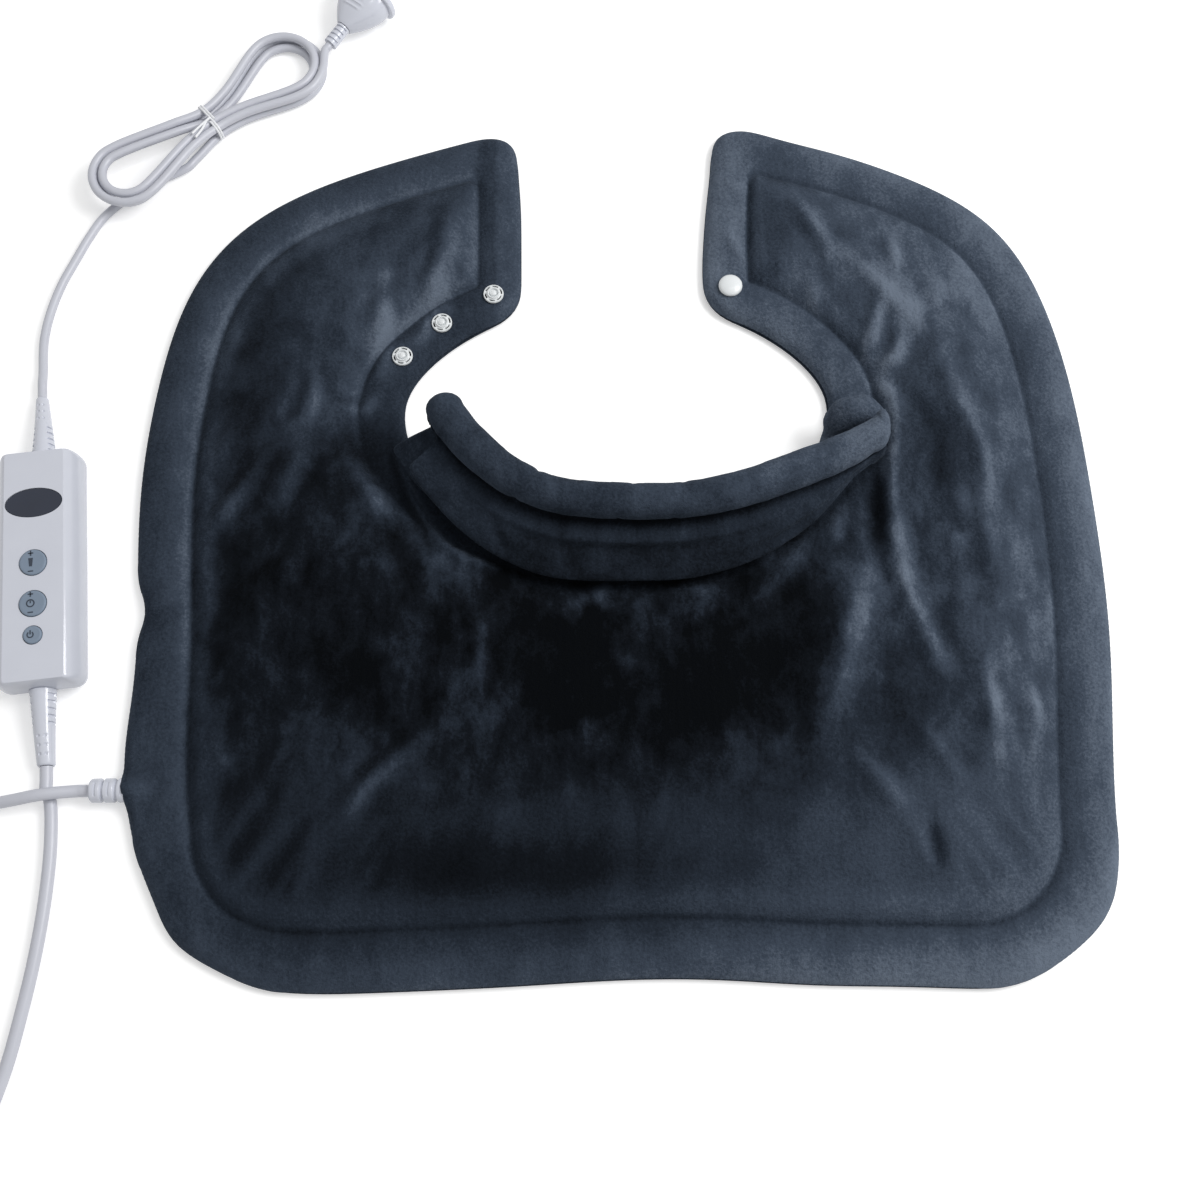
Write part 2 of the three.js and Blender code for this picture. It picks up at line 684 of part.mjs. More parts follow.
// One side of the pair, to the left or the right of the middle line
function besideLine(points, offset) {
  return points.map((point, i) => {
    const before = points[Math.max(i - 1, 0)];
    const after = points[Math.min(i + 1, points.length - 1)];
    const heading = after.clone().sub(before).normalize();
    return new THREE.Vector3(point.x - heading.y * offset, point.y + heading.x * offset, wireCentre);
  });
}

function buildWire() {
  const middle = wireMiddleLine();
  const half = runSpacing / 4;
  const there = besideLine(middle, half);
  const back = besideLine(middle, -half).reverse();
  const start = socketX + SOCKET_SIZE[0] + CLEARANCE;
  const lead = (y, side) => [
    new THREE.Vector3(start, y, channelWire),
    new THREE.Vector3(edgeX + POCKET_INSET - WIRE_RISE / 2, y, channelWire),
    new THREE.Vector3(wireRiseEnd, y, wireCentre),
    new THREE.Vector3(THREE.MathUtils.lerp(wireRiseEnd, side.x, 0.7), y + (side.y - y) * 0.25, wireCentre),
  ];
  const first = lead(INLET_Y + CHANNEL_WIDTH / 4, there[0]);
  const final = lead(INLET_Y - CHANNEL_WIDTH / 4, back.at(-1)).reverse();
  add(heatingPad, "heating_wire", tube([...first, ...there, ...back, ...final], WIRE_DIAMETER, 5), steel());
}

// Inlet socket between the covers, and the ribbed connector that plugs into it
function buildInlet() {
  const [length, width, height] = SOCKET_SIZE;
  const [tongueLength, tongueWidth, tongueHeight] = TONGUE_SIZE;
  const shell = inletBlock(socketX, socketX + length, width, SOCKET_FLOOR, SOCKET_FLOOR + height);
  const tongueEnd = edgeX + tongueLength;
  add(heatingPad, "pad_socket", cut(shell, [tongueRoom(tongueEnd + CLEARANCE)]), whitePlastic());

  const radius = CONNECTOR_DIAMETER / 2;
  const sleeveLength = CONNECTOR_LENGTH - CLEARANCE;
  const rib = sleeveLength / (2 * CONNECTOR_RIBS + 1);
  const profile = [[0, 0], [radius - 2 * CONNECTOR_GROOVE, 0]];
  for (let i = 0; i < CONNECTOR_RIBS; i += 1) {
    profile.push([radius - CONNECTOR_GROOVE, (2 * i + 1) * rib], [radius, (2 * i + 1) * rib]);
    profile.push([radius, (2 * i + 2) * rib], [radius - CONNECTOR_GROOVE, (2 * i + 2) * rib]);
  }
  profile.push([radius - CONNECTOR_GROOVE, sleeveLength], [0, sleeveLength]);
  const sleeve = lathe(profile, 16).rotateY(Math.PI / 2)
    .translate(edgeX - CONNECTOR_LENGTH, INLET_Y, radius + CLEARANCE);
  const tongue = inletBlock(
    edgeX - CONNECTOR_LENGTH / 2, tongueEnd, tongueWidth,
    socketMiddle - tongueHeight / 2, socketMiddle + tongueHeight / 2,
  );
  add(heatingPad, "pad_connector", join([sleeve, tongue]), whitePlastic());
}

// Collar: a padded stand on the neck edge that rolls over and hangs down outside as a flap
function collarRing(share) {
  const side = share < 0.5 ? -1 : 1;
  const place = Math.abs(2 * share - 1) * collarEnd;
  const point = neckPath.getPointAt(place);
  const tangent = neckPath.getTangentAt(place);
  const outward = new THREE.Vector2(tangent.y * side, -tangent.x);
  const root = new THREE.Vector2(point.x * side, point.y);
  const between = ({ left, middle, right }) => THREE.MathUtils.lerp(
    middle, side < 0 ? left : right, Math.abs(2 * share - 1) ** 2,
  );
  const lean = between(COLLAR_LEAN);
  const reach = between(COLLAR_REACH);
  const foot = borderTop + CLEARANCE;
  const roll = borderTop + COLLAR_ROLL_HEIGHT;
  const hem = crownTop + COLLAR_FLAP_LIFT;
  const arc = Array.from({ length: 6 }, (_, i) => {
    const angle = Math.PI * (1.05 - (1.3 * i) / 5);
    return [lean + COLLAR_ROLL_RADIUS * Math.cos(angle), roll + COLLAR_ROLL_RADIUS * Math.sin(angle)];
  });
  const profile = [
    [COLLAR_FOOT_INSET, foot],
    [lean * 0.5 + COLLAR_FOOT_INSET * 0.4, (foot + roll) / 2],
    ...arc,
    [reach, hem + COLLAR_FLAP_THICKNESS * 0.6],
    [reach, hem],
    [reach - COLLAR_FLAP_THICKNESS * 0.7, hem],
    [lean + COLLAR_ROLL_RADIUS * 0.2, roll - COLLAR_ROLL_RADIUS],
    [COLLAR_FOOT_INSET + COLLAR_FOOT, foot],
  ];
  return profile.map(([out, z]) => new THREE.Vector3(root.x + outward.x * out, root.y + outward.y * out, z));
}

const collarEnd = crossing(neckPoints, neckHalf - 0.5).place;

function buildCollar() {
  const rings = Array.from({ length: COLLAR_STEPS + 1 }, (_, i) => collarRing(i / COLLAR_STEPS));
  add(heatingPad, "collar", loft(rings), plush());
}

// Press studs: a ring or a cap on the arm, and a flat back with a stem through both covers
function buildStuds() {
  const low = borderTop + CLEARANCE;
  const stemTop = low + STUD_HEIGHT - 2 * CLEARANCE;
  for (const { name, at, cap } of studs) {
    const radius = (cap ? CAP_STUD_DIAMETER : SOCKET_STUD_DIAMETER) / 2;
    const bore = STUD_STEM / 2 + CLEARANCE;
    const top = low + STUD_HEIGHT;
    const profile = cap
      ? [[bore, low], [radius, low], [radius, low + STUD_RIM], [radius * 0.75, top], [0, top + STUD_DOME],
        [0, stemTop + CLEARANCE], [bore, stemTop + CLEARANCE], [bore, low]]
      : [[bore, low], [radius, low], [radius, low + STUD_RIM], [radius * 0.72, low + STUD_RIM],
        [radius * 0.66, top], [bore, top], [bore, low]];
    add(heatingPad, name, lathe(profile, 16).translate(...at, 0), whitePlastic());
    const back = lathe([
      [0, CLEARANCE], [STUD_BACK_DIAMETER / 2, CLEARANCE],
      [STUD_BACK_DIAMETER / 2, CLEARANCE + STUD_BACK_HEIGHT], [STUD_STEM / 2, CLEARANCE + STUD_BACK_HEIGHT],
      [STUD_STEM / 2, stemTop], [0, stemTop],
    ], 12).translate(...at, 0);
    add(heatingPad, `${name}_back`, back, whitePlastic());
  }
}

// Controller
const controller = new THREE.Group();
controller.position.set(-PAD_WIDTH / 2 - CONTROLLER_BESIDE, CONTROLLER_LEVEL, 0);
controller.rotation.z = radians(CONTROLLER_YAW);
heatingPad.add(controller);
const roof = CONTROLLER_HEIGHT - SHELL_WALL;
const boardTop = BOARD_HEIGHT + BOARD_THICKNESS;

// A level section of the housing: a rectangle with round corners
function housingRing(sideInset, endInset, z) {
  const halfWidth = CONTROLLER_WIDTH / 2 - sideInset;
  const halfLength = CONTROLLER_LENGTH / 2 - endInset;
  const corner = Math.max(2, HOUSING_CORNER - sideInset);
  const ring = [];
  for (let quarter = 0; quarter < 4; quarter += 1) {
    const signX = quarter === 0 || quarter === 3 ? 1 : -1;
    const signY = quarter < 2 ? 1 : -1;
    for (let step = 0; step <= 5; step += 1) {
      const angle = (quarter + step / 5) * Math.PI / 2;
      ring.push(new THREE.Vector3(
        signX * (halfWidth - corner) + corner * Math.cos(angle),
        signY * (halfLength - corner) + corner * Math.sin(angle),
        z,
      ));
    }
  }
  return ring;
}

// Rings from the parting line to the front face or to the base, with the walls set in by a thickness
function housingRings(start, end, sideDraw, endDraw, wall) {
  const steps = 4;
  return Array.from({ length: steps + 1 }, (_, i) => {
    const angle = radians(SHOULDER_ANGLE) * (i / steps);
    const draw = (1 - Math.cos(angle)) / (1 - Math.cos(radians(SHOULDER_ANGLE)));
    const rise = Math.sin(angle) / Math.sin(radians(SHOULDER_ANGLE));
    return housingRing(wall + sideDraw * draw, wall + endDraw * draw, THREE.MathUtils.lerp(start, end, rise));
  });
}

function housingHalf(start, end, inner, sideDraw, endDraw) {
  const mouth = start - Math.sign(end - start) * CUT_OVERRUN;
  const hollow = [
    housingRing(SHELL_WALL, SHELL_WALL, mouth),
    ...housingRings(start, inner, sideDraw, endDraw, SHELL_WALL),
  ];
  return cut(loft(housingRings(start, end, sideDraw, endDraw, 0)), [loft(hollow)]);
}

function oval(lengthX, lengthY, low, high) {
  const ring = (z) => Array.from({ length: 28 }, (_, i) => {
    const angle = (i / 28) * 2 * Math.PI;
    return new THREE.Vector3((lengthX / 2) * Math.cos(angle), (lengthY / 2) * Math.sin(angle), z);
  });
  return loft([ring(low), ring(high)]).translate(0, WINDOW_AT, 0);
}

const screwPlaces = [[-1, -1], [1, -1], [-1, 1], [1, 1]].map(
  ([x, y]) => [x * SCREW_SPREAD[0] / 2, y * SCREW_SPREAD[1] / 2],
);
const screwBore = SCREW_DIAMETER + 2 * CLEARANCE;
const bossDiameter = screwBore + 2 * BOSS_WALL;
const headRoof = SCREW_RECESS + SCREW_HEAD_HEIGHT + CLEARANCE;
const rockerFlangeTop = roof - CLEARANCE - ROCKER_SWING;
const pivotHeight = rockerFlangeTop - KEY_FLANGE_HEIGHT / 2;
const saddleX = ROCKER_DIAMETER / 2 + KEY_FLANGE + 2 * CLEARANCE;

function bootHoles() {
  const length = CONTROLLER_LENGTH + 2 * CUT_OVERRUN;
  return [bar(0, 0, -length / 2, length / 2, BOOT_NECK + 2 * CLEARANCE, 12)
    .rotateX(Math.PI / 2).translate(0, 0, PARTING_HEIGHT)];
}

function rockerSaddles(y) {
  const gap = TRUNNION_DIAMETER + 2 * CLEARANCE;
  return [-1, 1].map((side) => {
    const [near, far] = [saddleX, saddleX + SADDLE_THICKNESS].map((x) => side * x);
    const low = pivotHeight - TRUNNION_DIAMETER / 2;
    const body = block(
      [Math.min(near, far), y - gap / 2 - SADDLE_WALL, low],
      [Math.max(near, far), y + gap / 2 + SADDLE_WALL, roof + CLEARANCE],
    );
    const slot = block(
      [Math.min(near, far) - CUT_OVERRUN, y - gap / 2, low - CUT_OVERRUN],
      [Math.max(near, far) + CUT_OVERRUN, y + gap / 2, pivotHeight + gap / 2],
    );
    return cut(body, [slot]);
  });
}

function buildHousing() {
  const start = PARTING_HEIGHT + CLEARANCE / 2;
  const shell = housingHalf(start, CONTROLLER_HEIGHT, roof, SIDE_DRAW, END_DRAW);
  const bosses = screwPlaces.map(
    ([x, y]) => bar(x, y, boardTop + CLEARANCE, roof + CLEARANCE, bossDiameter, 12),
  );
  const saddles = Object.values(ROCKER_AT).flatMap(rockerSaddles);
  const above = CONTROLLER_HEIGHT + CUT_OVERRUN;
  const below = roof - CUT_OVERRUN;
  const [windowX, windowY] = WINDOW_SIZE;
  const openings = [
    ...screwPlaces.map(([x, y]) => bar(x, y, BOARD_HEIGHT, roof - CLEARANCE, screwBore, 12)),
    ...Object.values(ROCKER_AT).map((y) => bar(0, y, below, above, ROCKER_DIAMETER + 2 * KEY_GAP, 28)),
    bar(0, POWER_AT, below, above, POWER_DIAMETER + 2 * KEY_GAP, 24),
    oval(windowX + 2 * CLEARANCE, windowY + 2 * CLEARANCE, CONTROLLER_HEIGHT - WINDOW_RECESS, above),
    oval(windowX - 2 * WINDOW_LEDGE, windowY - 2 * WINDOW_LEDGE, below, above),
    ...bootHoles(),
  ];
  const topShell = cut(join([shell, ...bosses, ...saddles]), openings);
  add(controller, "controller_top_shell", topShell, whitePlastic());

  const base = housingHalf(PARTING_HEIGHT - CLEARANCE / 2, 0, SHELL_WALL, BASE_DRAW, BASE_DRAW);
  const posts = screwPlaces.map(([x, y]) => bar(
    x, y, SHELL_WALL - CLEARANCE, BOARD_HEIGHT - CLEARANCE, SCREW_HEAD + 2 * CLEARANCE + 2 * BOSS_WALL, 12,
  ));
  const bores = screwPlaces.flatMap(([x, y]) => [
    bar(x, y, -CUT_OVERRUN, headRoof, SCREW_HEAD + 2 * CLEARANCE, 12),
    bar(x, y, 0, BOARD_HEIGHT + CUT_OVERRUN, screwBore, 12),
  ]);
  const bottomShell = cut(join([base, ...posts]), [...bores, ...bootHoles()]);
  add(controller, "controller_bottom_shell", bottomShell, whitePlastic());

  const lensTop = CONTROLLER_HEIGHT - CLEARANCE / 3;
  const lens = oval(windowX, windowY, CONTROLLER_HEIGHT - WINDOW_RECESS + CLEARANCE, lensTop);
  add(controller, "display_window", lens, finish(0x3a4558, 0.1));

  screwPlaces.forEach(([x, y], i) => {
    const screw = lathe([
      [0, SCREW_RECESS], [SCREW_HEAD / 2, SCREW_RECESS], [SCREW_HEAD / 2, SCREW_RECESS + SCREW_HEAD_HEIGHT],
      [SCREW_DIAMETER / 2, SCREW_RECESS + SCREW_HEAD_HEIGHT],
      [SCREW_DIAMETER / 2, roof - SCREW_WEB], [0, roof - SCREW_WEB],
    ], 10).translate(x, y, 0);
    add(controller, `housing_screw_${i + 1}`, screw, steel());
  });
}

// Keys: a low dome through the face, held by a flange under the roof
function keyProfile(diameter, flangeTop) {
  const radius = diameter / 2;
  const crest = CONTROLLER_HEIGHT + KEY_PROUD;
  return [
    [0, flangeTop - KEY_FLANGE_HEIGHT], [radius + KEY_FLANGE, flangeTop - KEY_FLANGE_HEIGHT],
    [radius + KEY_FLANGE, flangeTop], [radius, flangeTop], [radius, crest - 0.7 * KEY_PROUD],
    [radius * 0.94, crest - 0.25 * KEY_PROUD], [radius * 0.8, crest], [0, crest],
  ];
}

function buildKeys() {
  for (const [name, y] of Object.entries(ROCKER_AT)) {
    const pin = bar(0, 0, -saddleX - SADDLE_THICKNESS, saddleX + SADDLE_THICKNESS, TRUNNION_DIAMETER, 10)
      .rotateY(Math.PI / 2).translate(0, y, pivotHeight);
    const dome = lathe(keyProfile(ROCKER_DIAMETER, rockerFlangeTop), 28).translate(0, y, 0);
    add(controller, name, join([dome, pin]), keyPlastic());
  }
  const power = lathe(keyProfile(POWER_DIAMETER, roof - CLEARANCE), 24).translate(0, POWER_AT, 0);
  add(controller, "power_button", power, keyPlastic());
}

function underBoard([length, width, height], [x, y]) {
  const top = BOARD_HEIGHT - CLEARANCE;
  return block([x - length / 2, y - width / 2, top - height], [x + length / 2, y + width / 2, top]);
}

function lyingUnderBoard({ diameter, length, at }) {
  return bar(0, 0, -length / 2, length / 2, diameter, 12).rotateX(Math.PI / 2)
    .translate(...at, BOARD_HEIGHT - CLEARANCE - diameter / 2);
}

function buildElectronics() {
  const [width, length] = BOARD_SIZE;
  const board = block([-width / 2, -length / 2, BOARD_HEIGHT], [width / 2, length / 2, boardTop]);
  const holes = screwPlaces.map(
    ([x, y]) => bar(x, y, BOARD_HEIGHT - CUT_OVERRUN, boardTop + CUT_OVERRUN, screwBore, 12),
  );
  add(controller, "circuit_board", cut(board, holes), finish(0x2f6b45, 0.5));
  const seat = boardTop + CLEARANCE;
  const [displayX, displayY] = DISPLAY_SIZE;
  const display = block(
    [-displayX / 2, WINDOW_AT - displayY / 2, seat],
    [displayX / 2, WINDOW_AT + displayY / 2, roof - CLEARANCE],
  );
  add(controller, "display_module", display, darkPlastic());
  const switchPlaces = {
    temperature_up_switch: ROCKER_AT.temperature_rocker + SWITCH_OFFSET,
    temperature_down_switch: ROCKER_AT.temperature_rocker - SWITCH_OFFSET,
    timer_up_switch: ROCKER_AT.timer_rocker + SWITCH_OFFSET,
    timer_down_switch: ROCKER_AT.timer_rocker - SWITCH_OFFSET,
    power_switch: POWER_AT,
  };
  for (const [name, y] of Object.entries(switchPlaces)) {
    const half = SWITCH_SIZE / 2;
    const body = block([-half, y - half, seat], [half, y + half, seat + SWITCH_BODY]);
    const plunger = bar(0, y, seat + SWITCH_BODY / 2, seat + SWITCH_TOP, SWITCH_PLUNGER, 10);
    add(controller, name, join([body, plunger]), darkPlastic());
  }
  add(controller, "microcontroller", underBoard(MICROCONTROLLER.size, MICROCONTROLLER.at), darkPlastic());
  add(controller, "triac", underBoard(TRIAC.size, TRIAC.at), darkPlastic());
  const film = underBoard(FILM_CAPACITOR.size, FILM_CAPACITOR.at);
  add(controller, "film_capacitor", film, finish(0xc9a23a, 0.5));
  add(controller, "fuse", lyingUnderBoard(FUSE), finish(0xd9dde0, 0.2));
  add(controller, "bulk_capacitor", lyingUnderBoard(BULK_CAPACITOR), finish(0x2b3350, 0.4));
}

// How far an end wall has drawn in at a height, given as its share of the way from the parting line
function endDrawAt(share, draw) {
  const angle = Math.asin(share * Math.sin(radians(SHOULDER_ANGLE)));
  return (draw * (1 - Math.cos(angle))) / (1 - Math.cos(radians(SHOULDER_ANGLE)));
}

// Strain relief: a flange inside the wall, a neck through it, and a grooved taper outside
const flangeClear = Math.max(
  endDrawAt(BOOT_FLANGE / 2 / (PARTING_HEIGHT - SHELL_WALL), BASE_DRAW),
  endDrawAt(BOOT_FLANGE / 2 / (roof - PARTING_HEIGHT), END_DRAW),
);
const bootStart = CONTROLLER_LENGTH / 2 - SHELL_WALL - flangeClear - CLEARANCE - BOOT_FLANGE_THICKNESS;
const bootBase = CONTROLLER_LENGTH / 2 + CLEARANCE;
const bootTipHeight = PARTING_HEIGHT - BOOT_DROP;

function buildBoot(name, side) {
  const ring = (y, radius) => {
    const share = Math.max(0, (y - bootBase) / BOOT_LENGTH);
    const centre = new THREE.Vector3(0, side * y, PARTING_HEIGHT - BOOT_DROP * share ** 1.5);
    return roundRing(centre, new THREE.Vector3(0, side, 0), radius, 12);
  };
  const flangeEnd = bootStart + BOOT_FLANGE_THICKNESS;
  const rings = [
    ring(bootStart, BOOT_FLANGE / 2), ring(flangeEnd, BOOT_FLANGE / 2),
    ring(flangeEnd, BOOT_NECK / 2), ring(bootBase, BOOT_NECK / 2), ring(bootBase, BOOT_BASE / 2),
  ];
  const pitch = BOOT_LENGTH / (BOOT_GROOVES + 1.5);
  const radiusAt = (y) => THREE.MathUtils.lerp(BOOT_BASE, BOOT_TIP, (y - bootBase) / BOOT_LENGTH) / 2;
  for (let groove = 1; groove <= BOOT_GROOVES; groove += 1) {
    const from = bootBase + groove * pitch;
    const to = from + pitch * 0.35;
    rings.push(ring(from, radiusAt(from)), ring(from, radiusAt(from) - BOOT_GROOVE));
    rings.push(ring(to, radiusAt(to) - BOOT_GROOVE), ring(to, radiusAt(to)));
  }
  rings.push(ring(bootBase + BOOT_LENGTH, BOOT_TIP / 2));
  add(controller, name, loft(rings), whitePlastic());
}

// Wires from each strain relief up to the underside of the board
function buildInnerWires() {
  const end = BOARD_SIZE[1] / 2;
  const routes = {
    mains_wire_live: [1, 1], mains_wire_neutral: [-1, 1],
    heater_wire_feed: [1, -1], heater_wire_return: [-1, -1],
  };
  for (const [name, [sideX, sideY]] of Object.entries(routes)) {
    const x = sideX * INNER_WIRE_SPREAD;
    const solderAt = BOARD_HEIGHT - CLEARANCE;
    const points = [
      [x, sideY * (bootStart - CLEARANCE), PARTING_HEIGHT],
      [x * 1.1, sideY * (bootStart - INNER_WIRE_STUB), PARTING_HEIGHT],
      [x * 1.4, sideY * (end - 0.65 * INNER_WIRE_REACH), PARTING_HEIGHT + INNER_WIRE_TAIL],
      [x * 1.5, sideY * (end - 0.95 * INNER_WIRE_REACH), solderAt - INNER_WIRE_TAIL],
      [x * 1.5, sideY * (end - INNER_WIRE_REACH), solderAt],
    ];
    add(controller, name, tube(points.map(vector), INNER_WIRE_DIAMETER, 8), finish(0xb03a2e, 0.6));
  }
}

// Hank
const hank = new THREE.Group();
hank.position.set(...HANK_AT, 0);
hank.rotation.z = radians(HANK_ANGLE);
heatingPad.add(hank);
const hankFloor = TIE_THICKNESS + 2 * CLEARANCE + MAINS_DIAMETER / 2;
const climbStart = 1.5 * LOOP_STEPS;
const climbEnd = climbStart + RUN_STEPS;
const hankEnd = 3 * LOOP_STEPS + RUN_STEPS + 2;

// The loops spiral in on the lower layer, climb along a run and spiral out on the upper layer
function hankPoint(step) {
  const climb = THREE.MathUtils.clamp((step - climbStart) / RUN_STEPS, 0, 1);
  const inward = step <= climbStart ? step : Math.min(climbStart, climbStart - (step - climbEnd));
  const turns = Math.max(0, Math.min(inward, climbStart)) / LOOP_STEPS;
  const at = step % LOOP_STEPS;
  const half = LOOP_STEPS / 2;
  const side = at < half ? 1 : -1;
  const along = at % half;
  let x;
  let y;
  if (along < RUN_STEPS) {
    x = side * HANK_RUN * (along - 1);
    y = -side * (HANK_WAIST - HANK_WAIST_PITCH * turns + HANK_FLARE * Math.abs(along - 1));
  } else {
    const { centre, radius } = side > 0 ? RIGHT_LOBE : LEFT_LOBE;
    const lobeSteps = half - RUN_STEPS - 1;
    const angle = radians(LOBE_ARC) * ((2 * (along - RUN_STEPS)) / lobeSteps - 1);
    const bend = radius - HANK_PITCH * turns;
    x = side * (centre + bend * Math.cos(angle));
    y = side * bend * Math.sin(angle);
  }
  const overCord = step < RUN_STEPS ? 0 : THREE.MathUtils.smoothstep(-x, -HANK_RUN / 2, 2 * HANK_RUN);
  return new THREE.Vector3(x, y, hankFloor + HANK_PITCH * (climb + overCord));
}

// Least gap of the hank to itself, measured between points that are more than two steps apart
function leastGap(points) {
  const curve = new THREE.CatmullRomCurve3(points, false, "centripetal");
  const dense = curve.getSpacedPoints(points.length * 4);
  let least = Infinity;
  for (let i = 0; i < dense.length; i += 1) {
    for (let j = i + 12; j < dense.length; j += 1) least = Math.min(least, dense[i].distanceTo(dense[j]));
  }
  return least - MAINS_DIAMETER;
}

function buildHank() {
  const points = Array.from({ length: hankEnd + 1 }, (_, step) => hankPoint(step));
  console.log(`hank: least gap to itself ${leastGap(points).toFixed(2)} mm`);
  add(hank, "mains_hank", tube(points, MAINS_DIAMETER, HANK_SIDES), cordPlastic());
  return points;
}

function buildTie(points) {
  const near = points.filter((point) => Math.abs(point.x) < 1);
  const room = MAINS_DIAMETER / 2 + 2 * CLEARANCE;
  const low = Math.min(...near.map((point) => point.y)) - room;
  const high = Math.max(...near.map((point) => point.y)) + room;
  const top = Math.max(...near.map((point) => point.z)) + room;
  const outer = block(
    [-TIE_WIDTH / 2, low - TIE_THICKNESS, CLEARANCE],
    [TIE_WIDTH / 2, high + TIE_THICKNESS, top + TIE_THICKNESS],
  );
  const inner = block([-TIE_WIDTH, low, CLEARANCE + TIE_THICKNESS], [TIE_WIDTH, high, top]);
  const tails = TIE_TAIL_TURNS.map((turn) => block(
    [-TIE_TAIL, -TIE_WIDTH / 4, 0], [0, TIE_WIDTH / 4, TIE_THICKNESS],
  ).rotateY(radians(TIE_TAIL_RISE)).rotateZ(radians(turn)).translate(0, low / 2, top));
  add(hank, "twist_tie", join([cut(outer, [inner]), ...tails]), finish(0xf2f2f2, 0.5));
}

// Plug
const plug = new THREE.Group();
plug.position.set(...PLUG_AT);
plug.rotation.set(0, -radians(PLUG_PITCH), radians(PLUG_YAW), "ZYX");
heatingPad.add(plug);

function plugRing(x, width, height) {
  return Array.from({ length: 20 }, (_, i) => {
    const angle = (i / 20) * 2 * Math.PI;
    const round = (value) => Math.sign(value) * Math.abs(value) ** 0.75;
    return new THREE.Vector3(x, (width / 2) * round(Math.cos(angle)), (height / 2) * round(Math.sin(angle)));
  });
}

function buildPlug() {
  const bootRings = [];
  const pitch = (PLUG_BOOT_LENGTH - 2 * CLEARANCE) / (2 * PLUG_BOOT_RIBS + 1);
  const forward = new THREE.Vector3(1, 0, 0);
  for (let i = 0; i <= 2 * PLUG_BOOT_RIBS; i += 1) {
    const radius = PLUG_BOOT_DIAMETER / 2 - (i % 2 === 0 ? 0 : BOOT_GROOVE);
    for (const x of [i * pitch, (i + 1) * pitch]) {
      bootRings.push(roundRing(new THREE.Vector3(CLEARANCE + x, 0, 0), forward, radius, 10));
    }
  }
  add(plug, "plug_strain_relief", loft(bootRings), whitePlastic());

  const start = PLUG_BOOT_LENGTH;
  const bodyRings = [0, 0.1, 0.3, 0.55, 0.8, 1].map((share) => {
    const swell = Math.sin((share * Math.PI) / 2) ** 0.9;
    return plugRing(
      start + share * PLUG_LENGTH,
      THREE.MathUtils.lerp(PLUG_BOOT_DIAMETER + 1, PLUG_WIDTH, swell),
      THREE.MathUtils.lerp(PLUG_BOOT_DIAMETER + 1, PLUG_HEIGHT, swell),
    );
  });
  const lipStart = start + PLUG_LENGTH;
  const face = lipStart + PLUG_LIP_LENGTH;
  const lip = [lipStart, face].map((x) => plugRing(x, PLUG_WIDTH + 2 * PLUG_LIP, PLUG_HEIGHT + 2 * PLUG_LIP));
  add(plug, "plug_body", loft([...bodyRings, ...lip]), whitePlastic());

  const [length, thickness, height] = BLADE_SIZE;
  [["plug_blade_left", 1], ["plug_blade_right", -1]].forEach(([name, side]) => {
    const blade = block([0, -thickness / 2, -height / 2], [length, thickness / 2, height / 2])
      .rotateX(side * radians(BLADE_TURN)).translate(face + CLEARANCE, (side * BLADE_SPACING) / 2, 0);
    add(plug, name, blade, steel());
  });
}

// Cords between the pieces that they join, with a short straight run out of each
function straightRun(start, direction, diameter) {
  return [0, 1, 2].map((times) => start.clone().addScaledVector(direction, times * diameter));
}

function buildCords(hankPoints) {
  heatingPad.updateMatrixWorld(true);
  const outOf = (group, point, direction, diameter) => straightRun(
    group.localToWorld(point.clone().addScaledVector(direction, CLEARANCE)),
    direction.clone().transformDirection(group.matrixWorld),
    diameter,
  );
  const outOfBoot = (side, diameter) => outOf(
    controller,
    new THREE.Vector3(0, side * (bootBase + BOOT_LENGTH), bootTipHeight),
    new THREE.Vector3(0, side, 0),
    diameter,
  );
  const connectorEnd = vector([edgeX - CONNECTOR_LENGTH, INLET_Y, CONNECTOR_DIAMETER / 2 + CLEARANCE]);
  add(heatingPad, "heater_lead", cord([
    ...outOfBoot(-1, LEAD_DIAMETER), ...LEAD_ROUTE.map(vector),
    ...outOf(heatingPad, connectorEnd, new THREE.Vector3(-1, 0, 0), LEAD_DIAMETER / 2).reverse(),
  ], LEAD_DIAMETER), cordPlastic());

  const [first, second] = hankPoints;
  const entry = first.clone().sub(second).normalize();
  add(heatingPad, "mains_cord", cord([
    ...outOfBoot(1, MAINS_DIAMETER), ...MAINS_ROUTE.map(vector),
    ...outOf(hank, first, entry, MAINS_DIAMETER).reverse(),
  ], MAINS_DIAMETER), cordPlastic());

  const [beforeLast, last] = hankPoints.slice(-2);
  const exit = last.clone().sub(beforeLast).normalize();
  const back = new THREE.Vector3(-1, 0, 0);
  add(heatingPad, "mains_tail", cord([
    ...outOf(hank, last, exit, MAINS_DIAMETER / 2),
    ...outOf(plug, new THREE.Vector3(CLEARANCE, 0, 0), back, MAINS_DIAMETER / 2).reverse(),
  ], MAINS_DIAMETER), cordPlastic());
}

buildPad();
buildWire();
buildInlet();
buildCollar();
buildStuds();
buildHousing();
buildKeys();
buildElectronics();
buildBoot("strain_relief_mains", 1);
buildBoot("strain_relief_heater", -1);
buildInnerWires();
const hankPoints = buildHank();
buildTie(hankPoints);
buildPlug();
buildCords(hankPoints);

export default heatingPad;
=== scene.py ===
# %% [markdown]
# # A neck and shoulder heating pad with its wired controller
# The working model of this object is already built: covers, keys, cords and everything inside, each at
# its real place. This lesson dresses that frame. It is loaded first and never moved, so every new piece
# is made in the same millimetres and simply lands where it belongs.

# %% Load the frame
import json
import math
import bpy
import numpy as np
from mathutils import Matrix, Vector, noise
from mathutils.geometry import delaunay_2d_cdt


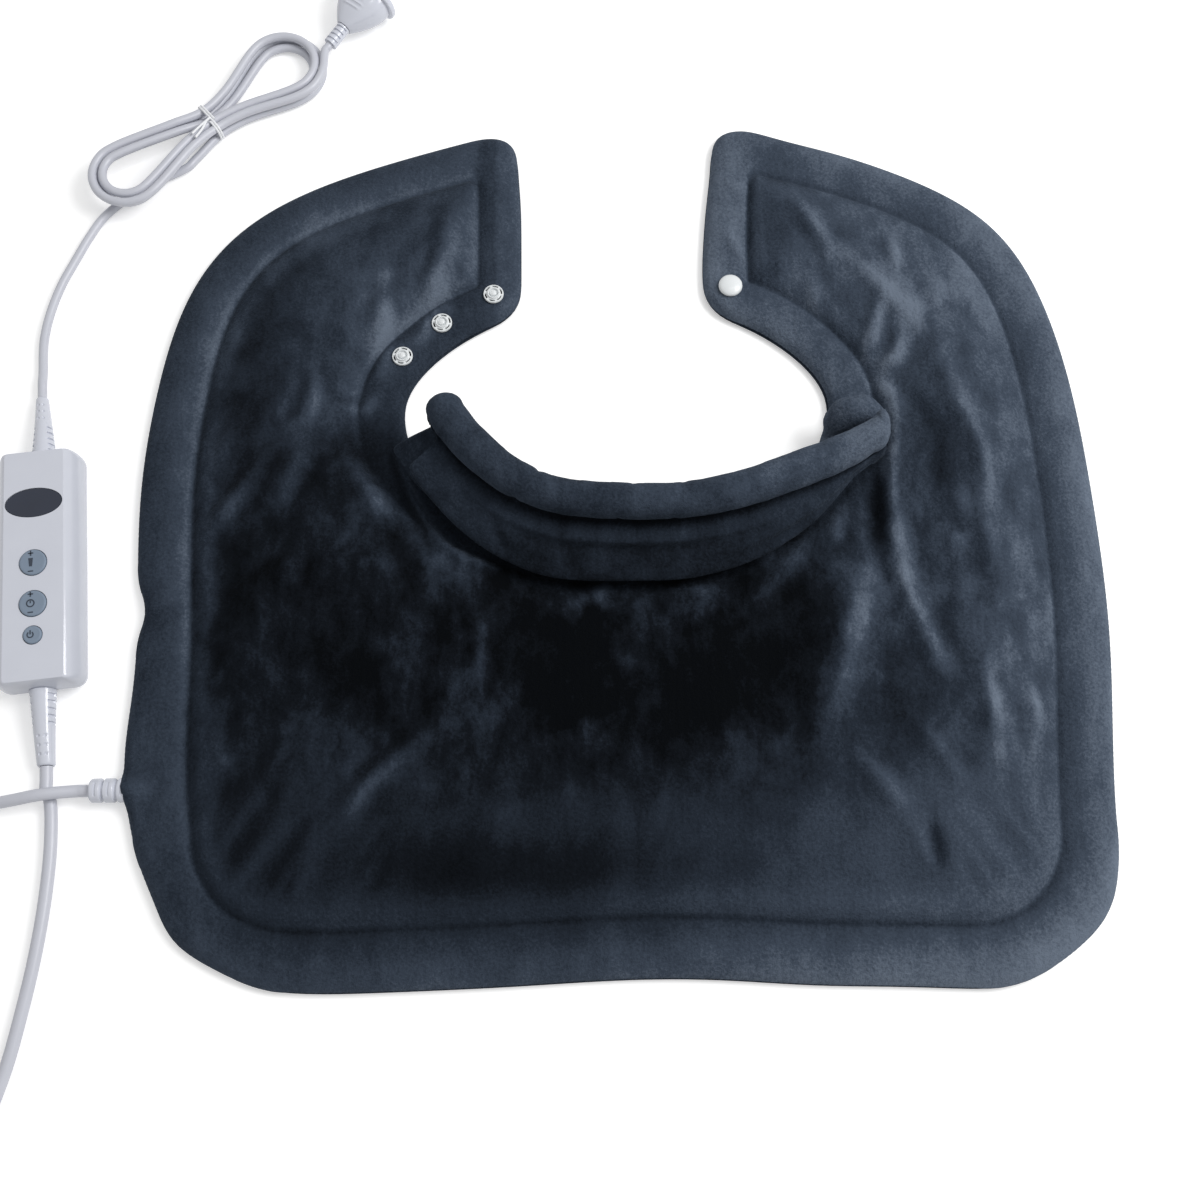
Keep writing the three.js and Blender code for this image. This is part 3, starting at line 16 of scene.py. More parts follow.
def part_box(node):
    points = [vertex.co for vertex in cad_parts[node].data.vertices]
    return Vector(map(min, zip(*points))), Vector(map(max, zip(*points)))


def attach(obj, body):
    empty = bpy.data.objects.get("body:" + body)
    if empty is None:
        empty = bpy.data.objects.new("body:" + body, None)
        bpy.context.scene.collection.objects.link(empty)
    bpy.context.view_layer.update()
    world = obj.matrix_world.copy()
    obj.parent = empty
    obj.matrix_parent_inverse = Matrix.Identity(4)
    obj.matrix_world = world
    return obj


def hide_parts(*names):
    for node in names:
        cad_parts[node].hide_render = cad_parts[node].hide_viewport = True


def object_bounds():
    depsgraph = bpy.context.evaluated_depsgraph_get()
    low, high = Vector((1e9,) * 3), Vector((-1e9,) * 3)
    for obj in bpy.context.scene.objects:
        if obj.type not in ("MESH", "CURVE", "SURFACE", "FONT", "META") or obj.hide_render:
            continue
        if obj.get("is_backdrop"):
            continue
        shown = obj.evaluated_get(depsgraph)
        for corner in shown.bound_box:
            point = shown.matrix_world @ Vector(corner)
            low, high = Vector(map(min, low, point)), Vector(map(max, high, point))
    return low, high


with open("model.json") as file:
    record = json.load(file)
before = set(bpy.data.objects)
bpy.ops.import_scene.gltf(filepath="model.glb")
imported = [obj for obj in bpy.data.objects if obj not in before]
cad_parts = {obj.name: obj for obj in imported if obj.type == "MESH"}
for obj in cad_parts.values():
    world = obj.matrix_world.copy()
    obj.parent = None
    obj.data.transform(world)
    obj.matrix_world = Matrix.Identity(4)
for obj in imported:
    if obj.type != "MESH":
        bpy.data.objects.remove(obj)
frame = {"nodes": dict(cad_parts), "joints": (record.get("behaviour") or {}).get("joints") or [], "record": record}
cad_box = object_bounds()
nodes = frame["nodes"]
joints = {joint["name"]: joint for joint in frame["joints"]}
MM = 0.001

# %% [markdown]
# ## Camera
# The pad lies on a table and is seen from above, leaning over its lower edge. A lens of 42 mm at arm's
# length gives the mild widening towards the near edge.

# %% Camera
CAMERA_AT = (-16.2, -161.0, 772.0)
CAMERA_TILT = 18
CAMERA_TURN = -1
scene = bpy.context.scene
camera_data = bpy.data.cameras.new("table_camera")
camera_data.lens = 42
camera_data.sensor_width = 36
camera_data.clip_start = 0.01
camera = bpy.data.objects.new("table_camera", camera_data)
camera.location = Vector(CAMERA_AT) * MM
camera.rotation_euler = (math.radians(CAMERA_TILT), 0, math.radians(CAMERA_TURN))
scene.collection.objects.link(camera)
scene.camera = camera
print("camera", CAMERA_AT, "mm")

# %% [markdown]
# ## Places that the cords start from
# The controller sits square to the pivot of its upper rocker key, so that joint gives its place and its
# turn. The hank and the plug have their own turned frames, as they were laid down by hand.

# %% Turned frames
def turned_frame(place, yaw, pitch=0):
    turn = Matrix.Rotation(math.radians(yaw), 4, "Z") @ Matrix.Rotation(-math.radians(pitch), 4, "Y")
    return Matrix.Translation(Vector(place)) @ turn


pivot = joints["temperature_press"]
pivot_x, pivot_y, _ = (value / MM for value in pivot["pos_m"])
controller = turned_frame((pivot_x, pivot_y, 0), math.degrees(math.atan2(pivot["axis"][1], pivot["axis"][0])))
hank = turned_frame((-258, 416.5, 0), 42.5)
plug = turned_frame((-182.5, 473, 10.4), 53, 7)
BOOT_BASE_AT = 71.3
BOOT_LENGTH = 42
BOOT_AXIS = 10
BOOT_DROP = 5
BOOT_LEAN = {1: -3, -1: 0}
CONNECTOR_LENGTH = 23
CONNECTOR_DIAMETER = 13.5
low_corner, high_corner = (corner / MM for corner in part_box("pad_connector"))
connector_end = Vector((low_corner.x, (low_corner.y + high_corner.y) / 2, (low_corner.z + high_corner.z) / 2))
print("connector ends at", [round(value, 1) for value in connector_end])

# %% [markdown]
# ## Cords
# Both cords are white PVC, laid on the table. A curve with a round bevel is the natural form for a cord:
# its own line is the cord's centreline, so its length can be read straight off. The free stretches follow
# listed points. The hank is a formula: loops that spiral in on one layer, climb along a run and
# spiral out on the next, drawn together at the waist where the tie holds them.

# %% Smooth routes and cord pieces
LEAD_DIAMETER = 7
MAINS_DIAMETER = 5.4
ROUTE_STEPS = 6
LEAD_ROUTE = [
    (-317.2, -22, 3.8), (-314.4, -44, 3.7), (-314.1, -71, 3.7), (-316.1, -102, 3.7), (-320.2, -133, 3.7),
    (-327.5, -170, 3.7), (-342, -207, 3.7), (-370, -231, 3.7), (-403, -231, 3.7), (-430, -210, 3.7),
    (-444, -175, 3.7), (-447, -135, 3.7), (-441, -95, 3.7), (-422, -58, 3.7), (-390, -34, 3.7),
    (-357, -26, 5.6), (-333, -22.6, 10.4), (-318, -20.2, 11.6),
]
MAINS_ROUTE = [
    (-348.6, 240, 3.2), (-350.4, 262, 3), (-348.5, 281, 3), (-343.5, 301, 3), (-336.7, 318, 3),
    (-329, 336, 3), (-320.5, 350.5, 3.2), (-299.4, 369, 3.6),
]


def smooth_route(points, steps=ROUTE_STEPS):
    points = [Vector(point) for point in points]
    ends = [2 * points[0] - points[1], *points, 2 * points[-1] - points[-2]]
    route = []
    for before, start, end, after in zip(ends, ends[1:], ends[2:], ends[3:]):
        stretches = ((before, start), (start, end), (end, after))
        one, two, three = (math.sqrt((b - a).length) for a, b in stretches)
        leaving = (start - before) / one - (end - before) / (one + two) + (end - start) / two
        arriving = (end - start) / two - (after - start) / (two + three) + (after - end) / three
        leaving, arriving = leaving * two, arriving * two
        for step in range(steps):
            t = step / steps
            route.append(
                (2 * t**3 - 3 * t**2 + 1) * start + (t**3 - 2 * t**2 + t) * leaving
                + (3 * t**2 - 2 * t**3) * end + (t**3 - t**2) * arriving
            )
    return [*route, points[-1]]


def route_length(route):
    return sum((b - a).length for a, b in zip(route, route[1:]))


def cord_piece(name, route, diameter):
    curve = bpy.data.curves.new(name, "CURVE")
    curve.dimensions = "3D"
    curve.bevel_depth = diameter / 2 * MM
    curve.bevel_resolution = 5
    curve.use_fill_caps = True
    line = curve.splines.new("POLY")
    line.points.add(len(route) - 1)
    for at, place in zip(line.points, route):
        at.co = (*(place * MM), 1)
    piece = bpy.data.objects.new(name, curve)
    scene.collection.objects.link(piece)
    print(f"{name}: {route_length(route):.0f} mm")
    return piece


def straight_run(place, start, direction, diameter):
    turn = place.to_3x3()
    return [place @ Vector(start) + turn @ Vector(direction) * diameter * times for times in (0, 1, 2)]


def boot_exit(side):
    return Vector((BOOT_LEAN[side], side * (BOOT_BASE_AT + BOOT_LENGTH + 0.3), BOOT_AXIS - BOOT_DROP))


# %% Heater lead, from the controller round to the pad's left edge
here = Matrix.Identity(4)
lead_route = smooth_route([
    *straight_run(controller, boot_exit(-1), (0, -1, 0), LEAD_DIAMETER),
    *LEAD_ROUTE,
    *straight_run(here, connector_end - Vector((0.3, 0, 0)), (-1, 0, 0), LEAD_DIAMETER / 2)[::-1],
])
heater_lead = cord_piece("heater_lead_cord", lead_route, LEAD_DIAMETER)

# %% Mains lead, from the controller through the hank to the plug
LOOP_STEPS = 24
RUN_STEPS = 3
HANK_RUN = 20
HANK_PITCH = 6.4
HANK_WAIST = 9.95
HANK_WAIST_PITCH = 5.7
HANK_FLARE = 3
HANK_FLOOR = 4.0
LOBES = {1: (61, 27), -1: (64, 24)}
LOBE_ARC = 105
CLIMB_START = 36
HANK_END = 77


def smooth_share(value, low, high):
    t = min(1, max(0, (value - low) / (high - low)))
    return t * t * (3 - 2 * t)


def hank_point(step):
    climb = min(1, max(0, (step - CLIMB_START) / RUN_STEPS))
    inward = step if step <= CLIMB_START else 2 * CLIMB_START + RUN_STEPS - step
    turns = max(0, min(inward, CLIMB_START)) / LOOP_STEPS
    half = LOOP_STEPS // 2
    side = 1 if step % LOOP_STEPS < half else -1
    along = step % half
    if along < RUN_STEPS:
        x = side * HANK_RUN * (along - 1)
        y = -side * (HANK_WAIST - HANK_WAIST_PITCH * turns + HANK_FLARE * abs(along - 1))
    else:
        centre, radius = LOBES[side]
        angle = math.radians(LOBE_ARC) * (2 * (along - RUN_STEPS) / (half - RUN_STEPS - 1) - 1)
        bend = radius - HANK_PITCH * turns
        x = side * (centre + bend * math.cos(angle))
        y = side * bend * math.sin(angle)
    over_cord = 0 if step < RUN_STEPS else smooth_share(-x, -HANK_RUN / 2, 2 * HANK_RUN)
    return hank @ Vector((x, y, HANK_FLOOR + HANK_PITCH * (climb + over_cord)))


hank_points = [hank_point(step) for step in range(HANK_END + 1)]
entry = (hank_points[0] - hank_points[1]).normalized() * MAINS_DIAMETER
mains_route = smooth_route([
    *straight_run(controller, boot_exit(1), (0, 1, 0), MAINS_DIAMETER),
    *MAINS_ROUTE,
    hank_points[0] + 2 * entry, hank_points[0] + entry,
    *hank_points,
    *straight_run(plug, (0.3, 0, 0), (-1, 0, 0), MAINS_DIAMETER / 2)[::-1],
])
mains_lead = cord_piece("mains_lead_cord", mains_route, MAINS_DIAMETER)

# %% [markdown]
# ## Stage and light
# The table is white and evenly lit. The floor takes the object's shadow as a pale diffuse surface, and a
# little glow that only the eye and mirrors see lifts the lit part to white. One large lamp stands high
# to the right of the pad, a long narrow one draws the line along the housing, and the world fills in
# the rest.

# %% Colours and shader nodes
def linear(hex_colour):
    channels = [int(hex_colour[at:at + 2], 16) / 255 for at in (1, 3, 5)]
    curve = [c / 12.92 if c <= 0.04045 else ((c + 0.055) / 1.055) ** 2.4 for c in channels]
    return (*curve, 1.0)


def add_node(tree, kind, inputs=None, **settings):
    made = tree.nodes.new("ShaderNode" + kind)
    for name, value in settings.items():
        setattr(made, name, value)
    for name, value in (inputs or {}).items():
        if isinstance(value, bpy.types.NodeSocket):
            tree.links.new(value, made.inputs[name])
        else:
            made.inputs[name].default_value = value
    return made


def seen_directly(tree):
    path = add_node(tree, "LightPath")
    seen = add_node(tree, "Math", {0: path.outputs["Is Camera Ray"], 1: path.outputs["Is Glossy Ray"]},
                    operation="MAXIMUM")
    return add_node(tree, "Math", {0: seen.outputs[0], 1: path.outputs["Is Transmission Ray"]},
                    operation="MAXIMUM").outputs[0]


# %% Floor, world and lamps
FLOOR_GLOW = 0.34
WORLD_FILL = 0.5
scene.view_settings.view_transform = "Standard"

floor_mesh = bpy.data.meshes.new("table")
FLOOR_HALF = 4.0
floor_mesh.from_pydata(
    [(x * FLOOR_HALF, y * FLOOR_HALF, -0.0003) for x, y in ((-1, -1), (1, -1), (1, 1), (-1, 1))],
    [], [(0, 1, 2, 3)],
)
table = bpy.data.objects.new("table", floor_mesh)
scene.collection.objects.link(table)
table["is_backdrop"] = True
table_paint = bpy.data.materials.new("white_table_paint")
table_paint.use_nodes = True
tree = table_paint.node_tree
shade = tree.nodes["Principled BSDF"]
shade.inputs["Base Color"].default_value = linear("#f4f4f4")
shade.inputs["Roughness"].default_value = 0.9
shade.inputs["Specular IOR Level"].default_value = 0.0
glow = add_node(tree, "Math", {0: seen_directly(tree), 1: FLOOR_GLOW}, operation="MULTIPLY")
shade.inputs["Emission Color"].default_value = (1, 1, 1, 1)
tree.links.new(glow.outputs[0], shade.inputs["Emission Strength"])
floor_mesh.materials.append(table_paint)

world = bpy.data.worlds.new("white_studio")
scene.world = world
world.use_nodes = True
tree = world.node_tree
fill = add_node(tree, "MapRange", {"Value": seen_directly(tree), "To Min": WORLD_FILL, "To Max": 1.0})
tree.links.new(fill.outputs["Result"], tree.nodes["Background"].inputs["Strength"])
tree.nodes["Background"].inputs["Color"].default_value = (1, 1, 1, 1)


def soft_lamp(name, place, target, size, watts):
    lamp = bpy.data.lights.new(name, "AREA")
    lamp.shape = "RECTANGLE"
    lamp.size, lamp.size_y = size
    lamp.energy = watts
    holder = bpy.data.objects.new(name, lamp)
    holder.location = place
    aim = Vector(target) - Vector(place)
    holder.rotation_euler = aim.to_track_quat("-Z", "Y").to_euler()
    scene.collection.objects.link(holder)


soft_lamp("window_light", (1.05, 0.3, 1.25), (0, 0.12, 0), (0.8, 0.7), 17.2)
soft_lamp("strip_light", (0.39, 0.45, 1.28), (-0.3, 0.12, 0), (0.07, 1.2), 2.6)
print("stage and lamps ready")

# %% [markdown]
# ## Mesh helpers
# Most rigid pieces are skins over rings of points: a boot, a plug, a key, a housing. Rings of equal count
# are easy to shape by formula, and the sharp edges are then marked by angle.

# %% Meshes from points
def mesh_piece(name, points, faces, sharp=None):
    mesh = bpy.data.meshes.new(name)
    mesh.from_pydata([tuple(Vector(point) * MM) for point in points], [], faces)
    mesh.validate()
    mesh.shade_smooth()
    if sharp:
        mesh.set_sharp_from_angle(angle=math.radians(sharp))
    piece = bpy.data.objects.new(name, mesh)
    scene.collection.objects.link(piece)
    return piece


def skin(rings, closed_ends=True):
    count = len(rings[0])
    points = [point for ring in rings for point in ring]
    faces = []
    for ring in range(len(rings) - 1):
        for i in range(count):
            a, b = ring * count + i, ring * count + (i + 1) % count
            faces.append((a, b, b + count, a + count))
    if closed_ends:
        last = (len(rings) - 1) * count
        faces.append(tuple(range(count))[::-1])
        faces.append(tuple(range(last, last + count)))
    return points, faces


def placed(frame_matrix, points):
    return [frame_matrix @ Vector(point) for point in points]


def round_ring(radius, height, sides, centre=(0, 0)):
    return [
        (centre[0] + radius * math.cos(2 * math.pi * i / sides),
         centre[1] + radius * math.sin(2 * math.pi * i / sides), height)
        for i in range(sides)
    ]


def turned_piece(name, profile, sides, frame_matrix, sharp=40):
    points, faces = skin([round_ring(radius, height, sides) for radius, height in profile])
    return mesh_piece(name, placed(frame_matrix, points), faces, sharp)


def dress(piece, material, body):
    piece.data.materials.clear()
    piece.data.materials.append(material)
    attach(piece, body)
    return piece


# %% [markdown]
# ## Plush
# The covers are a knitted polyester plush: fine, soft pile on a knitted ground, dark slate blue. The pile
# leans, so it looks nearly black where it leans away and pale where it is brushed up, and crushing leaves
# cloudy patches. The colour therefore follows a painted value called nap, carried by the mesh, with cloudy
# noise over it. Besides the lean of the pile, nap also carries painted light: painted highlights on fold
# crests and slopes, and painted shade in troughs, creases and along the sewn line. Sheen gives the soft
# rim, and three bumps give the crushed dents, the pile tufts and the knit ribs.

# %% Knitted polyester plush
PILE_TUFT = 1.7
KNIT_RIB = 2.4       # the real ribs are 1.4 mm apart, too fine to show, so they are drawn wider
CLOUD = 34
STREAK = 13
NAP_COLOURS = [(0.0, "#05070a"), (0.25, "#11151b"), (0.5, "#242b35"), (0.75, "#3c4552"), (1.0, "#636d7b")]


def pattern_scale(size_mm):
    return 1 / (size_mm * MM)


def knitted_plush():
    material = bpy.data.materials.new("knitted_polyester_plush")
    material.use_nodes = True
    tree = material.node_tree
    shade = tree.nodes["Principled BSDF"]
    place = add_node(tree, "TexCoord").outputs["Object"]
    nap = add_node(tree, "Attribute", attribute_name="nap").outputs["Fac"]
    crush = add_node(tree, "Attribute", attribute_name="crush").outputs["Fac"]
    brush = add_node(tree, "Mapping", {"Vector": place, "Scale": (1.0, 0.6, 1.0),
                                       "Rotation": (0, 0, 0.2)}).outputs["Vector"]
    cloud = add_node(tree, "TexNoise", {"Vector": brush, "Scale": pattern_scale(CLOUD), "Detail": 5.0,
                                        "Roughness": 0.6, "Distortion": 0.25}).outputs["Fac"]
    streak = add_node(tree, "TexNoise", {"Vector": brush, "Scale": pattern_scale(STREAK), "Detail": 4.0,
                                         "Roughness": 0.6, "Distortion": 0.3}).outputs["Fac"]
    tuft = add_node(tree, "TexNoise", {"Vector": place, "Scale": pattern_scale(PILE_TUFT), "Detail": 3.0,
                                       "Roughness": 0.7}).outputs["Fac"]
    ribs = add_node(tree, "TexWave", {"Vector": place, "Scale": pattern_scale(KNIT_RIB) / 6.28,
                                      "Distortion": 1.5, "Detail": 2.0, "Detail Scale": 1.5},
                    wave_type="BANDS", bands_direction="X").outputs["Fac"]
    mottle = add_node(tree, "MapRange", {"Value": cloud, "From Min": 0.34, "From Max": 0.66,
                                         "To Min": -0.19, "To Max": 0.19}).outputs["Result"]
    brushed = add_node(tree, "MapRange", {"Value": streak, "From Min": 0.3, "From Max": 0.7,
                                          "To Min": -0.14, "To Max": 0.14}).outputs["Result"]
    tip = add_node(tree, "MapRange", {"Value": tuft, "From Min": 0.25, "From Max": 0.75,
                                      "To Min": -0.1, "To Max": 0.1}).outputs["Result"]
    crushed = add_node(tree, "Math", {0: mottle, 1: brushed}, operation="ADD").outputs[0]
    lean = add_node(tree, "Math", {0: crushed, 1: crush, 2: nap}, operation="MULTIPLY_ADD").outputs[0]
    lean = add_node(tree, "Math", {0: lean, 1: tip}, operation="ADD").outputs[0]
    ramp = add_node(tree, "ValToRGB", {"Fac": lean})
    ramp.color_ramp.elements[0].color = linear(NAP_COLOURS[0][1])
    ramp.color_ramp.elements[1].color = linear(NAP_COLOURS[-1][1])
    for at, colour in NAP_COLOURS[1:-1]:
        ramp.color_ramp.elements.new(at).color = linear(colour)
    tree.links.new(ramp.outputs["Color"], shade.inputs["Base Color"])
    dents = add_node(tree, "Bump", {"Height": streak, "Strength": 0.35, "Distance": 0.002}).outputs["Normal"]
    pile = add_node(tree, "Bump", {"Height": tuft, "Strength": 0.7, "Distance": 0.0015,
                                   "Normal": dents}).outputs["Normal"]
    rim = add_node(tree, "MapRange", {"Value": lean, "From Max": 0.6, "To Max": 0.16}).outputs["Result"]
    tree.links.new(rim, shade.inputs["Sheen Weight"])
    knit = add_node(tree, "Bump", {"Height": ribs, "Strength": 0.16, "Distance": 0.0006,
                                   "Normal": pile}).outputs["Normal"]
    tree.links.new(knit, shade.inputs["Normal"])
    shade.inputs["Roughness"].default_value = 0.95
    shade.inputs["Specular IOR Level"].default_value = 0.05
    shade.inputs["Sheen Roughness"].default_value = 0.45
    shade.inputs["Sheen Tint"].default_value = linear("#8a97a8")
    return material


plush = knitted_plush()
print("plush ready")

# %% [markdown]
# ## Outline of the pad
# The pad is a horseshoe: a wide back panel with round corners, two arms that come round the neck, and a
# straight tip on each. One half is drawn with the same curves as the frame, mirrored, and walked at even
# steps.

# %% Horseshoe outline
PAD_HALF = 279.5
PANEL_HALF = 123
NECK_HALF = 127.5
NECK_LEVEL = 209
NECK_DEPTH = 86
TIP_X = 57
TIP_TOP = 401
TIP_LOW = 292
TIP_ROUNDING = 20
CORNER_RADIUS = 84
BOTTOM = -128.5
CORNER_X = 185
SIDE_X = CORNER_X + CORNER_RADIUS
SIDE_START = BOTTOM + CORNER_RADIUS
WIDEST_LEVEL = 145
SHOULDER_RISE = 195
ARM_START = TIP_X + 1.6 * TIP_ROUNDING
SHOULDER_PULL = 135
SHOULDER_SLOPE = 0.3


def bezier(points, count=60):
    t = np.linspace(0, 1, count)[:, None]
    layers = [np.array(point, float) for point in points]
    while len(layers) > 1:
        layers = [a + (b - a) * t for a, b in zip(layers, layers[1:])]
    return layers[0]


def arc(centre, radii, start, end, count=60):
    angle = np.radians(np.linspace(start, end, count))
    return np.column_stack([centre[0] + radii[0] * np.cos(angle), centre[1] + radii[1] * np.sin(angle)])


def outer_half():
    rise = (WIDEST_LEVEL - SIDE_START) / 3
    return np.vstack([
        bezier([(0, -PANEL_HALF), (CORNER_X * 0.4, -PANEL_HALF),
                (CORNER_X * 0.6, BOTTOM), (CORNER_X, BOTTOM)]),
        arc((CORNER_X, SIDE_START), (CORNER_RADIUS, CORNER_RADIUS), -90, 0),
        bezier([(SIDE_X, SIDE_START), (SIDE_X + 3.2, SIDE_START + rise),
                (PAD_HALF, WIDEST_LEVEL - rise), (PAD_HALF, WIDEST_LEVEL)]),
        bezier([(PAD_HALF, WIDEST_LEVEL), (PAD_HALF, WIDEST_LEVEL + SHOULDER_RISE),
                (ARM_START + SHOULDER_PULL, TIP_TOP - SHOULDER_SLOPE * SHOULDER_PULL), (ARM_START, TIP_TOP)]),
        bezier([(ARM_START, TIP_TOP), (TIP_X, TIP_TOP + SHOULDER_SLOPE * 1.6 * TIP_ROUNDING),
                (TIP_X, TIP_TOP - TIP_ROUNDING)]),
    ])


def neck_half():
    tip_corner = (TIP_X + 0.95 * TIP_ROUNDING, TIP_LOW - 1.3 * TIP_ROUNDING)
    return np.vstack([
        arc((0, NECK_LEVEL), (NECK_HALF, NECK_DEPTH), -90, 0),
        bezier([(NECK_HALF, NECK_LEVEL), (NECK_HALF, NECK_LEVEL + 23),
                (TIP_X + 2 * TIP_ROUNDING, TIP_LOW - 1.8 * TIP_ROUNDING), tip_corner]),
        bezier([tip_corner, (TIP_X, TIP_LOW - 0.9 * TIP_ROUNDING), (TIP_X, TIP_LOW)]),
    ])


def even_steps(line, spacing):
    steps = np.linalg.norm(np.diff(line, axis=0), axis=1)
    line = np.vstack([line[:1], line[1:][steps > 1e-6]])
    along = np.concatenate([[0], np.cumsum(np.linalg.norm(np.diff(line, axis=0), axis=1))])
    at = np.linspace(0, along[-1], max(2, round(along[-1] / spacing) + 1))
    return np.column_stack([np.interp(at, along, line[:, axis]) for axis in range(line.shape[1])])


def mirrored(line):
    return (line * (-1, 1))[::-1]


OUTER_EDGE = np.vstack([mirrored(outer_half()), outer_half()])
NECK_EDGE = np.vstack([
    outer_half()[-1:], neck_half()[::-1], mirrored(neck_half()[::-1]), mirrored(outer_half())[:1],
])


def pad_loop(spacing):
    return even_steps(np.vstack([OUTER_EDGE, NECK_EDGE]), spacing)[:-1]


print("outline of", len(pad_loop(4.5)), "points")

# %% [markdown]
# ## Sheets over the outline
# A cover is a sheet of nearly even triangles inside the outline, with rows of points along the edge and
# along the sewn line. Even triangles let cloth wrinkle the same way in every direction. Each point knows
# its depth, the distance to the edge, and the padding's height is a formula of that depth. The border is
# wider along the outer edge than at the neck, so the outer depth is scaled to make the sewn line fall at
# one value.

# %% Sheet of even triangles
NECK_BORDER = 27
OUTER_BORDER = 31.5
EDGE_ROOM = 0.6
SEAM_ROW = 1.7
EDGE_ROWS = (2.6, 5.4)


def line_distance(points, line):
    distance = np.full(len(points), np.inf)
    for start, end in zip(line, line[1:]):
        span = end - start
        length = span @ span
        if length < 1e-9:
            continue
        away = points - start
        share = np.clip(away @ span / length, 0, 1)
        distance = np.minimum(distance, np.hypot(*(away - share[:, None] * span).T))
    return distance


def inside_outline(points, loop):
    inside = np.zeros(len(points), bool)
    for start, end in zip(loop, np.roll(loop, -1, axis=0)):
        if start[1] == end[1]:
            continue
        crosses = (start[1] > points[:, 1]) != (end[1] > points[:, 1])
        slope = (end[0] - start[0]) / (end[1] - start[1])
        inside ^= crosses & (points[:, 0] < start[0] + (points[:, 1] - start[1]) * slope)
    return inside


def border_depth(points):
    outer = line_distance(points, even_steps(OUTER_EDGE, 3)) * NECK_BORDER / OUTER_BORDER
    return np.minimum(outer, line_distance(points, even_steps(NECK_EDGE, 3)))


def offset_line(line, spacing, depth):
    line = even_steps(line, spacing)
    heading = np.gradient(line, axis=0)
    heading /= np.linalg.norm(heading, axis=1)[:, None]
    return line + np.column_stack([-heading[:, 1], heading[:, 0]]) * depth


def row_at(spacing, depth):
    outer = offset_line(OUTER_EDGE, spacing, depth * OUTER_BORDER / NECK_BORDER)
    line = np.vstack([outer, offset_line(NECK_EDGE, spacing, depth)])
    return line[np.abs(border_depth(line) - depth) < 0.25]


def even_sheet(spacing):
    loop = pad_loop(spacing)
    rows = (*EDGE_ROWS, NECK_BORDER - SEAM_ROW, NECK_BORDER, NECK_BORDER + SEAM_ROW)
    seam = np.vstack([row_at(spacing, depth) for depth in rows])
    low, high = loop.min(0), loop.max(0)
    levels = np.arange(low[1], high[1], spacing * math.sqrt(3) / 2)
    columns = np.arange(low[0], high[0], spacing)
    grid = np.array([(x + spacing / 2 * (row % 2), y) for row, y in enumerate(levels) for x in columns])
    grid = grid[inside_outline(grid, loop)]
    depth = border_depth(grid)
    off_edge = depth > EDGE_ROWS[-1] + EDGE_ROOM * spacing
    off_seam = np.abs(depth - NECK_BORDER) > SEAM_ROW + EDGE_ROOM * spacing
    clear = off_edge & off_seam
    points = np.vstack([loop, seam, grid[clear]])
    rim = [(i, (i + 1) % len(loop)) for i in range(len(loop))]
    found = delaunay_2d_cdt([Vector(point) for point in points], rim, [], 1, 1e-6)
    points = np.array([tuple(point) for point in found[0]])
    faces = np.array(found[2])
    a, b, c = (points[faces[:, corner]] for corner in range(3))
    backward = (b - a)[:, 0] * (c - a)[:, 1] - (b - a)[:, 1] * (c - a)[:, 0] < 0
    faces[backward] = faces[backward][:, ::-1]
    depth = border_depth(points)
    depth[:len(loop)] = 0
    return points, faces, depth, len(loop)


# %% [markdown]
# ## Pulls
# A sewn pad is never quite even. Lying there, its right shoulder is drawn up, its left side bulges over
# the connector and has a nip above it. Each pull has a middle, a reach and a shift.

# %% Pulls of the outline, in mm
PULLS = [
    ((-255, 300), 95, (-3, 1.2)), ((-280, 165), 60, (-2.6, 0)), ((-277, 86), 14, (4.5, 0)),
    ((-277, -4), 42, (-6.5, 0)), ((-262, -78), 30, (5.5, 1)), ((-222, -118), 36, (1.5, 5.2)),
    ((58, 388), 42, (7, 0)), ((54, 298), 24, (-1.5, 0)), ((-60, -123), 60, (0, -1.7)),
    ((235, 335), 62, (3, 2)), ((140, 388), 60, (0, 3.6)),
    ((85, 395), 24, (1, 1.5)), ((278, 60), 72, (3.2, 0)), ((258, -92), 30, (3, -2)),
    ((195, -126), 45, (2, -3)), ((100, -124), 50, (0, -2)), ((-57, 385), 26, (-2, -2)),
]


def pulled(points):
    shift = np.zeros_like(points)
    for middle, reach, by in PULLS:
        shift += np.exp(-((points - middle) ** 2).sum(1) / reach**2)[:, None] * by
    return points + shift
